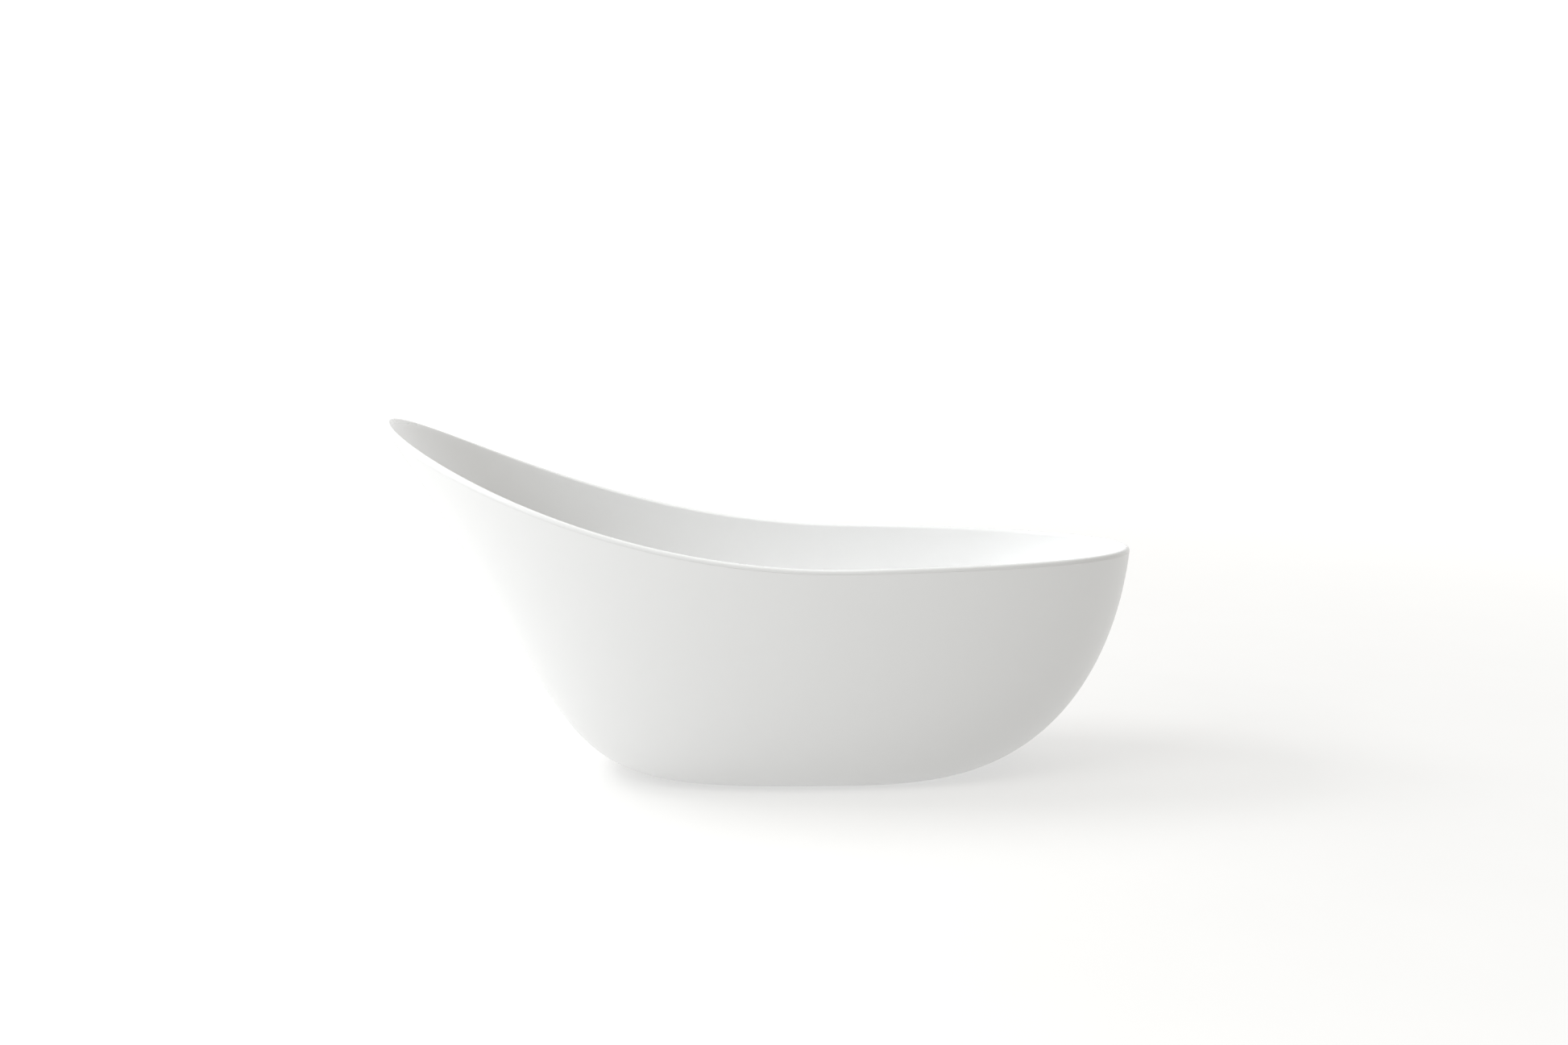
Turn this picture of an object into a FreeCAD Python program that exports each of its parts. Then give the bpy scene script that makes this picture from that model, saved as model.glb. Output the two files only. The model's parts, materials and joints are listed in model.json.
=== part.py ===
import FreeCAD, Part
import math
import os
import Sketcher

# A freestanding bathtub with one raised head end. Two thin acrylic skins meet under a rolled lip: the
# basin inside and the skirt outside. The basin's floor is backed by a board, which a steel frame carries
# on four levelling feet. A push plug and an overflow drain it.
# Millimetres. +Z up, +X towards the low foot end. The origin is on the floor under the rim's middle.

Vector = FreeCAD.Vector

STATIONS = 48      # ribs round each skin, evenly spaced
SETTLE = 60        # passes that settle a closed spline's poles

# alias, value, what it is
SIZES = [
    ("rim_length", 1800, "rim outline, head to foot"),
    ("rim_half_width", 400, "rim outline at mid-length, from the centre line"),
    ("rim_low_height", 540, "crown of the lip over the level stretch"),
    ("rim_head_height", 850, "crown of the lip at the head tip"),
    ("rim_level_from", 220, "x where the rim starts to climb towards the head"),
    ("rim_shift", 50, "how far the widest place sits towards the foot"),
    ("rim_fullness_head", 0.256, "how square the outline is at the head"),
    ("rim_fullness_foot", -0.025, "how square the outline is at the foot"),
    ("lip_width", 18, "width of the full-round lip"),
    ("base_centre", 123, "x of the middle of the skirt's bottom edge"),
    ("base_half_length", 317, "skirt's bottom edge, half its length"),
    ("base_half_width", 225, "skirt's bottom edge, half its width"),
    ("base_fullness", 0.49, "how square the bottom edge is"),
    ("lean_head", 55.2, "skirt's angle to the floor under the lip, degrees"),
    ("lean_side", 83.8, "the same at the sides"),
    ("lean_foot", 84.6, "the same at the foot"),
    ("skirt_low_head", 0.47, "reach of the skirt's turn at the floor, share of the overhang"),
    ("skirt_low_side", 0.73, "the same at the sides"),
    ("skirt_low_foot", 0.64, "the same at the foot"),
    ("skirt_high_head", 0.72, "reach of the skirt's straight run below the lip, share of the height"),
    ("skirt_high_side", 0.60, "the same at the sides"),
    ("skirt_high_foot", 0.49, "the same at the foot"),
    ("skirt_wall", 5, "skirt thickness"),
    ("skirt_lift", 3, "gap under the skirt"),
    ("bond_gap", 0.3, "adhesive line between the skirt's top edge and the lip"),
    ("basin_wall", 5, "basin thickness"),
    ("floor_height", 130, "inside of the basin's floor at the waste"),
    ("floor_fall", 0.012, "fall of the floor towards the waste, mm a mm"),
    ("floor_centre", 60, "x of the middle of the flat floor"),
    ("floor_half_length", 470, "flat floor, half its length"),
    ("floor_half_width", 215, "flat floor, half its width"),
    ("floor_fullness", 0.35, "how square the flat floor is"),
    ("basin_low_head", 0.235, "reach of the basin's turn at the floor, share of the overhang"),
    ("basin_low_side", 0.50, "the same at the sides"),
    ("basin_low_foot", 0.38, "the same at the foot"),
    ("basin_high_head", 0.70, "reach of the basin's straight run below the lip, share of the depth"),
    ("basin_high_side", 0.40, "the same at the sides"),
    ("basin_high_foot", 0.20, "the same at the foot"),
    ("board_thick", 12, "board under the floor"),
    ("board_length", 740, "board, along X"),
    ("board_width", 330, "board, along Y"),
    ("board_corner", 110, "board corner radius"),
    ("rail_size", 25, "square tube of the frame"),
    ("rail_wall", 2, "tube wall"),
    ("rail_length", 600, "long rails"),
    ("rail_spread", 140, "long rail centre line from the middle"),
    ("cross_head", -120, "x of the head cross rail and feet"),
    ("cross_middle", 78, "x of the middle cross rail"),
    ("cross_foot", 275, "x of the foot cross rail and feet"),
    ("cap_flange", 3, "rail end cap outside the tube"),
    ("cap_plug", 12, "rail end cap inside the tube"),
    ("screw_radius", 2.5, "frame screw shank"),
    ("screw_head", 5, "frame screw head radius"),
    ("screw_bite", 8, "how far a frame screw goes into the board"),
    ("screw_inset", 35, "end screw from the rail's end"),
    ("stud_radius", 6, "levelling stud"),
    ("stud_gap", 0.05, "running clearance round a stud"),
    ("stud_end_gap", 12, "tube roof above the stud's top"),
    ("stud_collar_radius", 9, "spanner collar on the stud, across its corners"),
    ("stud_collar_height", 8, "the same, height"),
    ("boss_radius", 11, "threaded boss under the rail"),
    ("boss_height", 14, "the same, height"),
    ("lock_nut_height", 7, "lock nut under the boss"),
    ("lock_nut_radius", 10.4, "lock nut, centre to corner"),
    ("pad_radius", 22, "foot pad"),
    ("pad_rubber", 4, "rubber sole of the foot"),
    ("pad_cup_radius", 12, "cup that holds the stud's end"),
    ("pad_cup_height", 10, "the same, height above the plate"),
    ("pad_plate", 4, "foot plate thickness"),
    ("waste_x", 340, "x of the waste's axis"),
    ("waste_bore", 20, "bore of the waste"),
    ("waste_tail", 24, "outside of the waste's threaded tail"),
    ("flange_radius", 35, "waste flange"),
    ("flange_rim", 3, "flange thickness at its rim"),
    ("flange_seat", 1.6, "flange thickness at the plug's seat"),
    ("seal_thick", 1.5, "seal under the flange"),
    ("recess_gap", 2, "gap round the flange in its recess"),
    ("pad_thick", 8, "floor thickness round the waste and the overflow"),
    ("pad_margin", 6, "thick floor outside the recess"),
    ("hole_gap", 1.5, "gap round the waste's tail in the floor"),
    ("washer_thick", 3, "rubber washer under the floor"),
    ("back_nut_height", 10, "nut that clamps the waste"),
    ("back_nut_wall", 9, "the same, thread to flat"),
    ("tail_length", 50, "waste tail below the flange"),
    ("body_wall", 3, "waste body wall"),
    ("body_overlap", 14, "how far the tail enters the waste body"),
    ("outlet_radius", 20, "outlet spigot, for a 40 mm pipe"),
    ("outlet_length", 30, "the same, length"),
    ("outlet_lift", 14, "outlet's end above the floor"),
    ("union_height", 12, "union nut of the waste body"),
    ("union_wall", 4, "the same, body to flat"),
    ("cartridge_radius", 7, "push cartridge"),
    ("cartridge_wall", 1.4, "the same, wall"),
    ("cartridge_length", 32, "the same, length"),
    ("spoke_width", 3, "spokes that hold the cartridge"),
    ("spoke_height", 8, "the same, height"),
    ("stem_radius", 4, "plug stem"),
    ("stem_gap", 0.05, "running clearance round the stem"),
    ("plug_travel", 9, "how far the plug moves"),
    ("plug_radius", 31, "plug cap"),
    ("plug_height", 5, "plug cap, edge to crown"),
    ("plug_seal_outer", 27, "plug seal, outside"),
    ("plug_seal_inner", 21, "plug seal, inside"),
    ("plug_seal_thick", 2.5, "plug seal thickness"),
    ("seat_gap", 0.3, "gap between seal and seat with the plug down"),
    ("spring_wire", 0.5, "spring wire radius"),
    ("spring_turns", 6, "spring turns"),
    ("overflow_drop", 120, "overflow's axis below the low rim"),
    ("overflow_radius", 32, "overflow cover"),
    ("overflow_cover_depth", 9, "overflow cover, wall to front"),
    ("overflow_shell", 2, "overflow cover wall"),
    ("overflow_hole", 22, "hole in the basin wall"),
    ("overflow_land", 36, "flat land round the hole"),
    ("overflow_gasket", 2.5, "gasket behind the wall"),
    ("pipe_gap", 3.5, "gap between the basin's wall and the pipe's clip, at the overflow"),
    ("overflow_body_radius", 29, "overflow body"),
    ("overflow_screw", 3, "overflow screw radius"),
    ("pipe_radius", 10, "overflow pipe"),
    ("pipe_wall", 2, "the same, wall"),
    ("spigot_length", 20, "spigots that the pipe goes on"),
    ("pipe_height", 66, "overflow pipe's lowest run above the floor"),
    ("clip_width", 8, "pipe clip"),
    ("clip_thick", 1.5, "the same, thickness"),
]

doc = FreeCAD.newDocument("bathtub")
sheet = doc.addObject("Spreadsheet::Sheet", "Sizes")
for row, (alias, value, note) in enumerate(SIZES, start=1):
    sheet.set(f"A{row}", alias)
    sheet.set(f"B{row}", str(value))
    sheet.set(f"C{row}", note)
    sheet.setAlias(f"B{row}", alias)
doc.recompute()

subparts = []


def cells(expression):
    """Put the sheet's name before every alias in an expression."""
    words = []
    word = ""
    for letter in expression + " ":
        if letter.isalnum() or letter in "_.":
            word += letter
            continue
        words.append(f"Sizes.{word}" if word in ALIASES else word)
        words.append(letter)
        word = ""
    return "".join(words).strip()


ALIASES = {alias for alias, _, _ in SIZES}


def size(expression):
    """Return the value of an expression on the sheet's cells."""
    return float(sheet.evalExpression(cells(str(expression))))


def bind(thing, **expressions):
    """Bind properties of an object to expressions."""
    for name, expression in expressions.items():
        thing.setExpression(name, cells(str(expression)))


def place(thing, x=0, y=0, z=0):
    """Bind an object's position to expressions."""
    thing.setExpression("Placement.Base.x", cells(str(x)))
    thing.setExpression("Placement.Base.y", cells(str(y)))
    thing.setExpression("Placement.Base.z", cells(str(z)))


def keep(thing, label):
    """List an object as a sub-part."""
    thing.Label = label
    subparts.append(thing)
    return thing


def box(name, length, width, height, x=0, y=0, z=0):
    """A box centred on x and y, standing on z."""
    thing = doc.addObject("Part::Box", name)
    bind(thing, Length=length, Width=width, Height=height)
    place(thing, f"{x} - ({length}) / 2", f"{y} - ({width}) / 2", z)
    return thing


def rod(name, radius, height, x=0, y=0, z=0):
    """An upright cylinder standing on z."""
    thing = doc.addObject("Part::Cylinder", name)
    bind(thing, Radius=radius, Height=height)
    place(thing, x, y, z)
    return thing


def hexagon(name, corner, height, x=0, y=0, z=0):
    """An upright six-sided prism standing on z."""
    thing = doc.addObject("Part::Prism", name)
    thing.Polygon = 6
    bind(thing, Circumradius=corner, Height=height)
    place(thing, x, y, z)
    return thing


def across_flats(flat):
    """Corner radius of a hexagon whose flats lie at a distance from its centre."""
    return f"({flat}) / cos(30)"


def fuse(name, things):
    """One solid from several."""
    thing = doc.addObject("Part::MultiFuse", name)
    thing.Shapes = things
    return thing


def group(name, things):
    """Separate solids in one object."""
    thing = doc.addObject("Part::Compound", name)
    thing.Links = things
    return thing


def cut(name, base, tools):
    """A solid less its tools."""
    thing = doc.addObject("Part::Cut", name)
    thing.Base = base
    thing.Tool = tools[0] if len(tools) == 1 else fuse(f"{name}_tools", tools)
    return thing


def plane_of(body, role):
    """Return the body's own origin plane of that role."""
    return next(item for item in body.Origin.OriginFeatures if item.Role == role)


def sketch_outline(body, name, role, points):
    """A closed outline of straight lines whose corners are bound to expressions."""
    sketch = body.newObject("Sketcher::SketchObject", name)
    sketch.AttachmentSupport = [(plane_of(body, role), "")]
    sketch.MapMode = "FlatFace"
    corners = [Vector(size(across), size(up), 0) for across, up in points]
    count = len(corners)
    for number, corner in enumerate(corners):
        sketch.addGeometry(Part.LineSegment(corner, corners[(number + 1) % count]), False)
    for number in range(count):
        sketch.addConstraint(Sketcher.Constraint("Coincident", number, 2, (number + 1) % count, 1))
    for number, (across, up) in enumerate(points):
        for kind, expression, value in (
            ("DistanceX", across, corners[number].x),
            ("DistanceY", up, corners[number].y),
        ):
            index = sketch.addConstraint(Sketcher.Constraint(kind, -1, 1, number, 1, value))
            if str(expression) != "0":
                sketch.setExpression(f"Constraints[{index}]", cells(str(expression)))
    return sketch


def turned(name, points, x=0, y=0, z=0):
    """A body turned about its own Z axis from an outline of radius and height."""
    body = doc.addObject("PartDesign::Body", name)
    sketch = sketch_outline(body, f"{name}_outline", "XZ_Plane", points)
    turn = body.newObject("PartDesign::Revolution", f"{name}_turn")
    turn.Profile = sketch
    turn.ReferenceAxis = (sketch, ["V_Axis"])
    turn.Angle = 360
    place(body, x, y, z)
    return body


def ring_points(outer, inner, height):
    """Outline of a plain ring."""
    return [(inner, 0), (outer, 0), (outer, height), (inner, height)]


# ---- The two skins -------------------------------------------------------------------------------------
# Each skin is ruled by ribs, one at each station round the tub. A rib is a cubic curve with four poles.
# A row holds one pole of every rib, and a closed spline runs round through it.


def blended(head, side, foot, along):
    """A value that is head, side and foot at along = -1, 0 and 1."""
    return side + (foot - head) / 2 * along + ((foot + head) / 2 - side) * along * along


def by_end(family, along):
    """Blend the sheet's head, side and foot values of a family."""
    return blended(size(f"{family}_head"), size(f"{family}_side"), size(f"{family}_foot"), along)


def turn_angles():
    """The stations' angles round the tub, from the foot end."""
    return [2 * math.pi * number / STATIONS for number in range(STATIONS)]


def rim_row():
    """The lip's crown line, seen from above as the rim's outline."""
    row = []
    half = size("rim_length") / 2
    level = size("rim_level_from")
    low = size("rim_low_height")
    rise = size("rim_head_height") - low
    for angle in turn_angles():
        along = math.cos(angle)
        across = math.sin(angle)
        x = half * along + size("rim_shift") * (1 - along * along)
        full = blended(size("rim_fullness_head"), 0, size("rim_fullness_foot"), along)
        y = size("rim_half_width") * across * (1 + full)
        climb = max(0.0, (level - x) / (level + half))
        row.append(Vector(x, y, low + rise * climb * climb))
    return row


def flat_row(family, height):
    """A flat outline from the sheet's centre, half sizes and fullness of a family."""
    row = []
    for angle in turn_angles():
        along = math.cos(angle)
        full = 1 + size(f"{family}_fullness") * along * along
        x = size(f"{family}_centre") + size(f"{family}_half_length") * along
        y = size(f"{family}_half_width") * math.sin(angle) * full
        row.append(Vector(x, y, height))
    return row


def across_row(row, number):
    """Direction along a row at a station."""
    return row[(number + 1) % STATIONS] - row[number - 1]


def lean_directions():
    """Direction of each rib where it meets the lip, rising one unit a unit of height."""
    head = 1 / math.tan(math.radians(size("lean_head")))
    side = 1 / math.tan(math.radians(size("lean_side")))
    foot = 1 / math.tan(math.radians(size("lean_foot")))
    directions = []
    for angle in turn_angles():
        along = math.cos(angle)
        directions.append(Vector(blended(-head, 0, foot, along), side * math.sin(angle), 1))
    return directions


def outward(tangent, rib):
    """Unit normal on the outside of a skin."""
    normal = tangent.cross(rib)
    return normal.normalize()


def level_part(direction):
    """The horizontal part of a vector."""
    return Vector(direction.x, direction.y, 0)


def offset_rows(rows, distance, top_normals):
    """Rows of a skin's back face: each leg of each rib moves along its own normal."""
    moved = [[] for _ in rows]
    for number in range(STATIONS):
        normals = []
        for low, high in zip(rows, rows[1:]):
            tangent = across_row(low, number) + across_row(high, number)
            normals.append(outward(tangent, high[number] - low[number]))
        moved[0].append(rows[0][number] - normals[0] * distance)
        for level in (1, 2):
            before = normals[level - 1]
            after = normals[level]
            share = distance / (1 + before.dot(after))
            moved[level].append(rows[level][number] - (before + after) * share)
        moved[3].append(rows[3][number] - top_normals[number] * distance)
    return moved


def closed_poles(row):
    """Poles of the closed cubic spline through a row's points."""
    poles = list(row)
    for _ in range(SETTLE):
        poles = [
            (row[number] * 6 - poles[number - 1] - poles[(number + 1) % STATIONS]) / 4
            for number in range(STATIONS)
        ]
    return poles


def skin_face(rows, degree, spans=1, weights=None):
    """A face that closes round the tub and runs through the rows' poles."""
    columns = [closed_poles(row) for row in rows]
    poles = [[column[number] for column in columns] for number in range(STATIONS)]
    across_knots = [float(number) for number in range(STATIONS + 1)]
    along_knots = [float(number) for number in range(spans + 1)]
    along_times = [degree + 1] + [degree] * (spans - 1) + [degree + 1]
    values = [poles, [1] * (STATIONS + 1), along_times, across_knots, along_knots, True, False, 3, degree]
    if weights:
        values.append([weights for _ in range(STATIONS)])
    surface = Part.BSplineSurface()
    surface.buildFromPolesMultsKnots(*values)
    return surface.toShape()


def flat_face(row):
    """A flat face inside a row."""
    poles = closed_poles(row)
    curve = Part.BSplineCurve()
    knots = [float(number) for number in range(STATIONS + 1)]
    curve.buildFromPolesMultsKnots(poles, [1] * (STATIONS + 1), knots, True, 3)
    return Part.Face(Part.Wire([curve.toShape()]))


def sewn_solid(faces):
    """One solid inside closed faces."""
    skin = Part.Compound(faces)
    skin.sewShape()
    solid = Part.Solid(skin.Shells[0])
    if solid.Volume < 0:
        solid.reverse()
    return solid


def skin_feature(name, solid):
    """An object that holds a skin's solid."""
    thing = doc.addObject("Part::Feature", name)
    thing.Shape = solid
    thing.Placement = FreeCAD.Placement()
    return thing


def lip_frame():
    """Outer edge row of the lip, with the outward normal and the rib direction of each station."""
    crown = rim_row()
    leans = lean_directions()
    radius = size("lip_width") / 2
    edge = []
    normals = []
    for number, point in enumerate(crown):
        normal = outward(across_row(crown, number), leans[number])
        normals.append(normal)
        edge.append(Vector(point.x, point.y, point.z - radius + radius * normal.z))
    return edge, normals, leans


def skirt_rows():
    """Outer face of the skirt, from its bottom edge to the lip."""
    edge, _, leans = lip_frame()
    base = flat_row("base", size("skirt_lift"))
    low = []
    high = []
    top = []
    for number, angle in enumerate(turn_angles()):
        along = math.cos(angle)
        overhang = level_part(edge[number] - base[number])
        low.append(base[number] + overhang * by_end("skirt_low", along))
        high.append(edge[number] - leans[number] * edge[number].z * by_end("skirt_high", along))
        top.append(edge[number] - leans[number] * size("bond_gap"))
    return [base, low, high, top]


def floor_level(x):
    """Height of the basin's sloping floor."""
    return size("floor_height") + size("floor_fall") * (size("waste_x") - x)


def basin_rows():
    """Inner face of the basin, from the flat floor to the lip's inner edge."""
    edge, normals, leans = lip_frame()
    width = size("lip_width")
    inner = [edge[number] - normals[number] * width for number in range(STATIONS)]
    floor = [Vector(point.x, point.y, floor_level(point.x)) for point in flat_row("floor", 0)]
    low = []
    high = []
    for number, angle in enumerate(turn_angles()):
        along = math.cos(angle)
        reach = level_part(inner[number] - floor[number]) * by_end("basin_low", along)
        reach.z = -size("floor_fall") * reach.x
        low.append(floor[number] + reach)
        depth = inner[number].z - floor[number].z
        high.append(inner[number] - leans[number] * depth * by_end("basin_high", along))
    return [floor, low, high, inner]


def skirt_back_rows():
    """Inner face of the skirt."""
    return offset_rows(skirt_rows(), size("skirt_wall"), lip_frame()[1])


def basin_back_rows():
    """Outer face of the basin's wall, above its level underside."""
    rows = offset_rows(basin_rows(), -size("basin_wall"), lip_frame()[1])
    under = size("floor_height - basin_wall")
    for level in (0, 1):
        for point in rows[level]:
            point.z = under
    return rows


def make_skirt():
    """The outer skin."""
    front = skirt_rows()
    back = skirt_back_rows()
    faces = [
        skin_face(front, 3),
        skin_face(back, 3),
        skin_face([front[0], back[0]], 1),
        skin_face([front[3], back[3]], 1),
    ]
    return sewn_solid(faces)


def make_basin():
    """The inner skin with its rolled lip, before its holes."""
    edge, normals, _ = lip_frame()
    radius = size("lip_width") / 2
    crown = rim_row()
    front = basin_rows()
    back = basin_back_rows()
    rises = [across_row(crown, number) for number in range(STATIONS)]
    rises = [normals[number].cross(rises[number]).normalize() * radius for number in range(STATIONS)]
    middle = [edge[number] - normals[number] * radius for number in range(STATIONS)]
    lip = [
        edge,
        [edge[number] + rises[number] for number in range(STATIONS)],
        [middle[number] + rises[number] for number in range(STATIONS)],
        [front[3][number] + rises[number] for number in range(STATIONS)],
        front[3],
    ]
    corner = math.sqrt(0.5)
    faces = [
        skin_face(front, 3),
        skin_face(lip, 2, 2, [1, corner, 1, corner, 1]),
        skin_face([edge, back[3]], 1),
        skin_face(back, 3),
        flat_face(front[0]),
        flat_face(back[0]),
    ]
    return sewn_solid(faces)


def rib_point(rows, height):
    """Point on the foot-end rib at a height, and the rib's direction there."""
    poles = [row[0] for row in rows]
    low = 0.0
    high = 1.0
    for _ in range(SETTLE):
        share = (low + high) / 2
        rest = 1 - share
        point = poles[0] * rest ** 3 + poles[1] * (3 * rest * rest * share)
        point += poles[2] * (3 * rest * share * share) + poles[3] * share ** 3
        if point.z < height:
            low = share
        else:
            high = share
    slope = (poles[1] - poles[0]) * rest ** 2 + (poles[2] - poles[1]) * (2 * rest * share)
    slope += (poles[3] - poles[2]) * share ** 2
    return point, slope.normalize()


def overflow_frame():
    """Placement at the middle of the overflow: Z into the bath, X up the wall."""
    point, slope = rib_point(basin_rows(), size("rim_low_height - overflow_drop"))
    inward = Vector(-slope.z, 0, slope.x)
    turn = FreeCAD.Rotation(slope, inward.cross(slope), inward, "XYZ")
    return FreeCAD.Placement(point, turn)


overflow_place = overflow_frame()


def on_wall(thing, depth, up=0):
    """Set an object on the overflow's axis, depth into the bath and up the wall."""
    along = overflow_place.Rotation.multVec(Vector(size(up), 0, size(depth)))
    thing.Placement = FreeCAD.Placement(overflow_place.Base + along, overflow_place.Rotation)
    return thing


def free_rod(name, radius, height):
    """A cylinder whose place is set afterwards."""
    thing = doc.addObject("Part::Cylinder", name)
    bind(thing, Radius=radius, Height=height)
    return thing


# ---- Basin and skirt -----------------------------------------------------------------------------------

RECESS_DEPTH = "(seal_thick + flange_rim - 1)"
RECESS = f"(floor_height - {RECESS_DEPTH})"
UNDER_PAD = f"({RECESS} - pad_thick)"
UNDER = "(floor_height - basin_wall)"
PAD = "(flange_radius + recess_gap + pad_margin)"


def build_basin():
    """Basin with a level seat for the waste, a flat land for the overflow, and both holes."""
    blank = skin_feature("basin_blank", make_basin())
    seat = rod("waste_pad", PAD, "pad_thick", "waste_x", 0, UNDER_PAD)
    land = on_wall(free_rod("overflow_pad", "overflow_land", "pad_thick"), "-pad_thick")
    full = fuse("basin_full", [blank, seat, land])
    recess = rod("waste_recess", "flange_radius + recess_gap", "pad_thick * 3", "waste_x", 0, RECESS)
    hole = rod("waste_hole", "waste_tail + hole_gap", "pad_thick * 6", "waste_x", 0,
               f"{UNDER_PAD} - pad_thick * 2")
    front = on_wall(free_rod("overflow_front", "overflow_land", "pad_thick * 2"), 0)
    behind = on_wall(free_rod("overflow_back", "overflow_land", "pad_thick * 2"), "-pad_thick * 3")
    through = on_wall(free_rod("overflow_hole_tool", "overflow_hole", "pad_thick * 4"), "-pad_thick * 2")
    keep(cut("basin", full, [recess, hole, front, behind, through]), "inner_basin")


def build_skirt():
    """The outer skin, bonded under the lip."""
    keep(skin_feature("skirt", make_skirt()), "outer_skirt")


# ---- Board and frame -----------------------------------------------------------------------------------

BOARD_BOTTOM = f"({UNDER} - board_thick)"
RAIL_BOTTOM = f"({BOARD_BOTTOM} - rail_size)"
FRAME_X = "((cross_head + cross_foot) / 2)"
SIDES = (("left", "rail_spread"), ("right", "-rail_spread"))
ENDS = (("head", "cross_head"), ("foot", "cross_foot"))
SCREW_HEAD_HEIGHT = 2.5


def screw_places():
    """Where screws hold the frame to the board: between the feet and near the rails' ends."""
    places = []
    for _, y in SIDES:
        places.append((f"{FRAME_X} - rail_length / 2 + screw_inset", y))
        places.append((f"{FRAME_X} + rail_length / 2 - screw_inset", y))
        places.append(("cross_middle - rail_size", y))
    return places


def build_board():
    """Board bonded under the basin's floor, with a hole for the waste."""
    slab = box("board_slab", "board_length", "board_width", "board_thick", "floor_centre", 0, BOARD_BOTTOM)
    rounded = doc.addObject("Part::Fillet", "board_rounded")
    rounded.Base = slab
    doc.recompute()
    upright = []
    for number, edge in enumerate(slab.Shape.Edges, start=1):
        if abs(edge.tangentAt(edge.FirstParameter).z) > 0.9:
            upright.append((number, size("board_corner"), size("board_corner")))
    rounded.Edges = upright
    tools = [rod("board_hole", f"{PAD} + hole_gap", "board_thick * 3", "waste_x", 0,
                 f"{BOARD_BOTTOM} - board_thick")]
    for number, (x, y) in enumerate(screw_places(), start=1):
        tools.append(rod(f"board_pilot_{number}", "screw_radius", "screw_bite", x, y, BOARD_BOTTOM))
    keep(cut("board", rounded, tools), "base_board")


def tube(name, length, x, y, z, along_y=False):
    """A square tube lying on z, along X or along Y."""
    inside = "(rail_size - rail_wall * 2)"
    if along_y:
        outer = box(f"{name}_outer", "rail_size", length, "rail_size", x, y, z)
        bore = box(f"{name}_bore", inside, f"({length}) + rail_size", inside, x, y, f"{z} + rail_wall")
    else:
        outer = box(f"{name}_outer", length, "rail_size", "rail_size", x, y, z)
        bore = box(f"{name}_bore", f"({length}) + rail_size", inside, inside, x, y, f"{z} + rail_wall")
    return outer, bore


def build_frame():
    """Two long rails joined by three cross rails, with end caps and screws."""
    for side, y in SIDES:
        outer, bore = tube(f"rail_{side}", "rail_length", FRAME_X, y, RAIL_BOTTOM)
        tools = [bore]
        for end, x in ENDS:
            hole = rod(f"stud_hole_{side}_{end}", "stud_radius + stud_gap * 10", "rail_wall * 2", x, y,
                       f"{RAIL_BOTTOM} - rail_wall / 2")
            tools.append(hole)
        for number, (x, screw_y) in enumerate(screw_places(), start=1):
            if screw_y == y:
                tools.append(rod(f"screw_way_{number}", "screw_radius", "rail_size * 2", x, y,
                                 f"{RAIL_BOTTOM} - rail_size / 2"))
        keep(cut(f"long_rail_{side}", outer, tools), f"long_rail_{side}")
    inner_length = "(rail_spread * 2 - rail_size)"
    for name, x in (("head", "cross_head"), ("middle", "cross_middle"), ("foot", "cross_foot")):
        outer, bore = tube(f"cross_{name}", inner_length, x, 0, RAIL_BOTTOM, along_y=True)
        keep(cut(f"cross_rail_{name}", outer, [bore]), f"cross_rail_{name}")
    caps = []
    for side, y in SIDES:
        for sign, end in ((-1, "head"), (1, "foot")):
            face = f"{FRAME_X} + {sign} * rail_length / 2"
            flange = box(f"cap_flange_{side}_{end}", "cap_flange", "rail_size", "rail_size",
                         f"{face} + {sign} * cap_flange / 2", y, RAIL_BOTTOM)
            plug = box(f"cap_plug_{side}_{end}", "cap_plug", "rail_size - rail_wall * 2",
                       "rail_size - rail_wall * 2", f"{face} - {sign} * cap_plug / 2", y,
                       f"{RAIL_BOTTOM} + rail_wall")
            caps.append(fuse(f"cap_{side}_{end}", [flange, plug]))
    keep(group("rail_caps", caps), "rail_end_caps")
    screws = []
    for number, (x, y) in enumerate(screw_places(), start=1):
        head = rod(f"screw_head_{number}", "screw_head", SCREW_HEAD_HEIGHT, x, y,
                   f"{RAIL_BOTTOM} - {SCREW_HEAD_HEIGHT}")
        shank = rod(f"screw_shank_{number}", "screw_radius", "rail_size + screw_bite", x, y, RAIL_BOTTOM)
        screws.append(fuse(f"screw_{number}", [head, shank]))
    keep(group("frame_screws_all", screws), "frame_screws")


# ---- Levelling feet ------------------------------------------------------------------------------------

BOSS_BOTTOM = f"({RAIL_BOTTOM} - boss_height)"
NUT_BOTTOM = f"({BOSS_BOTTOM} - lock_nut_height)"
SOCKET_FLOOR = "(pad_rubber + pad_plate)"
STUD_END = f"({SOCKET_FLOOR} + seat_gap)"
STUD_LENGTH = f"({RAIL_BOTTOM} + rail_size - rail_wall - stud_end_gap - {STUD_END})"
CUP_TOP = f"({SOCKET_FLOOR} + pad_cup_height)"


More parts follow.
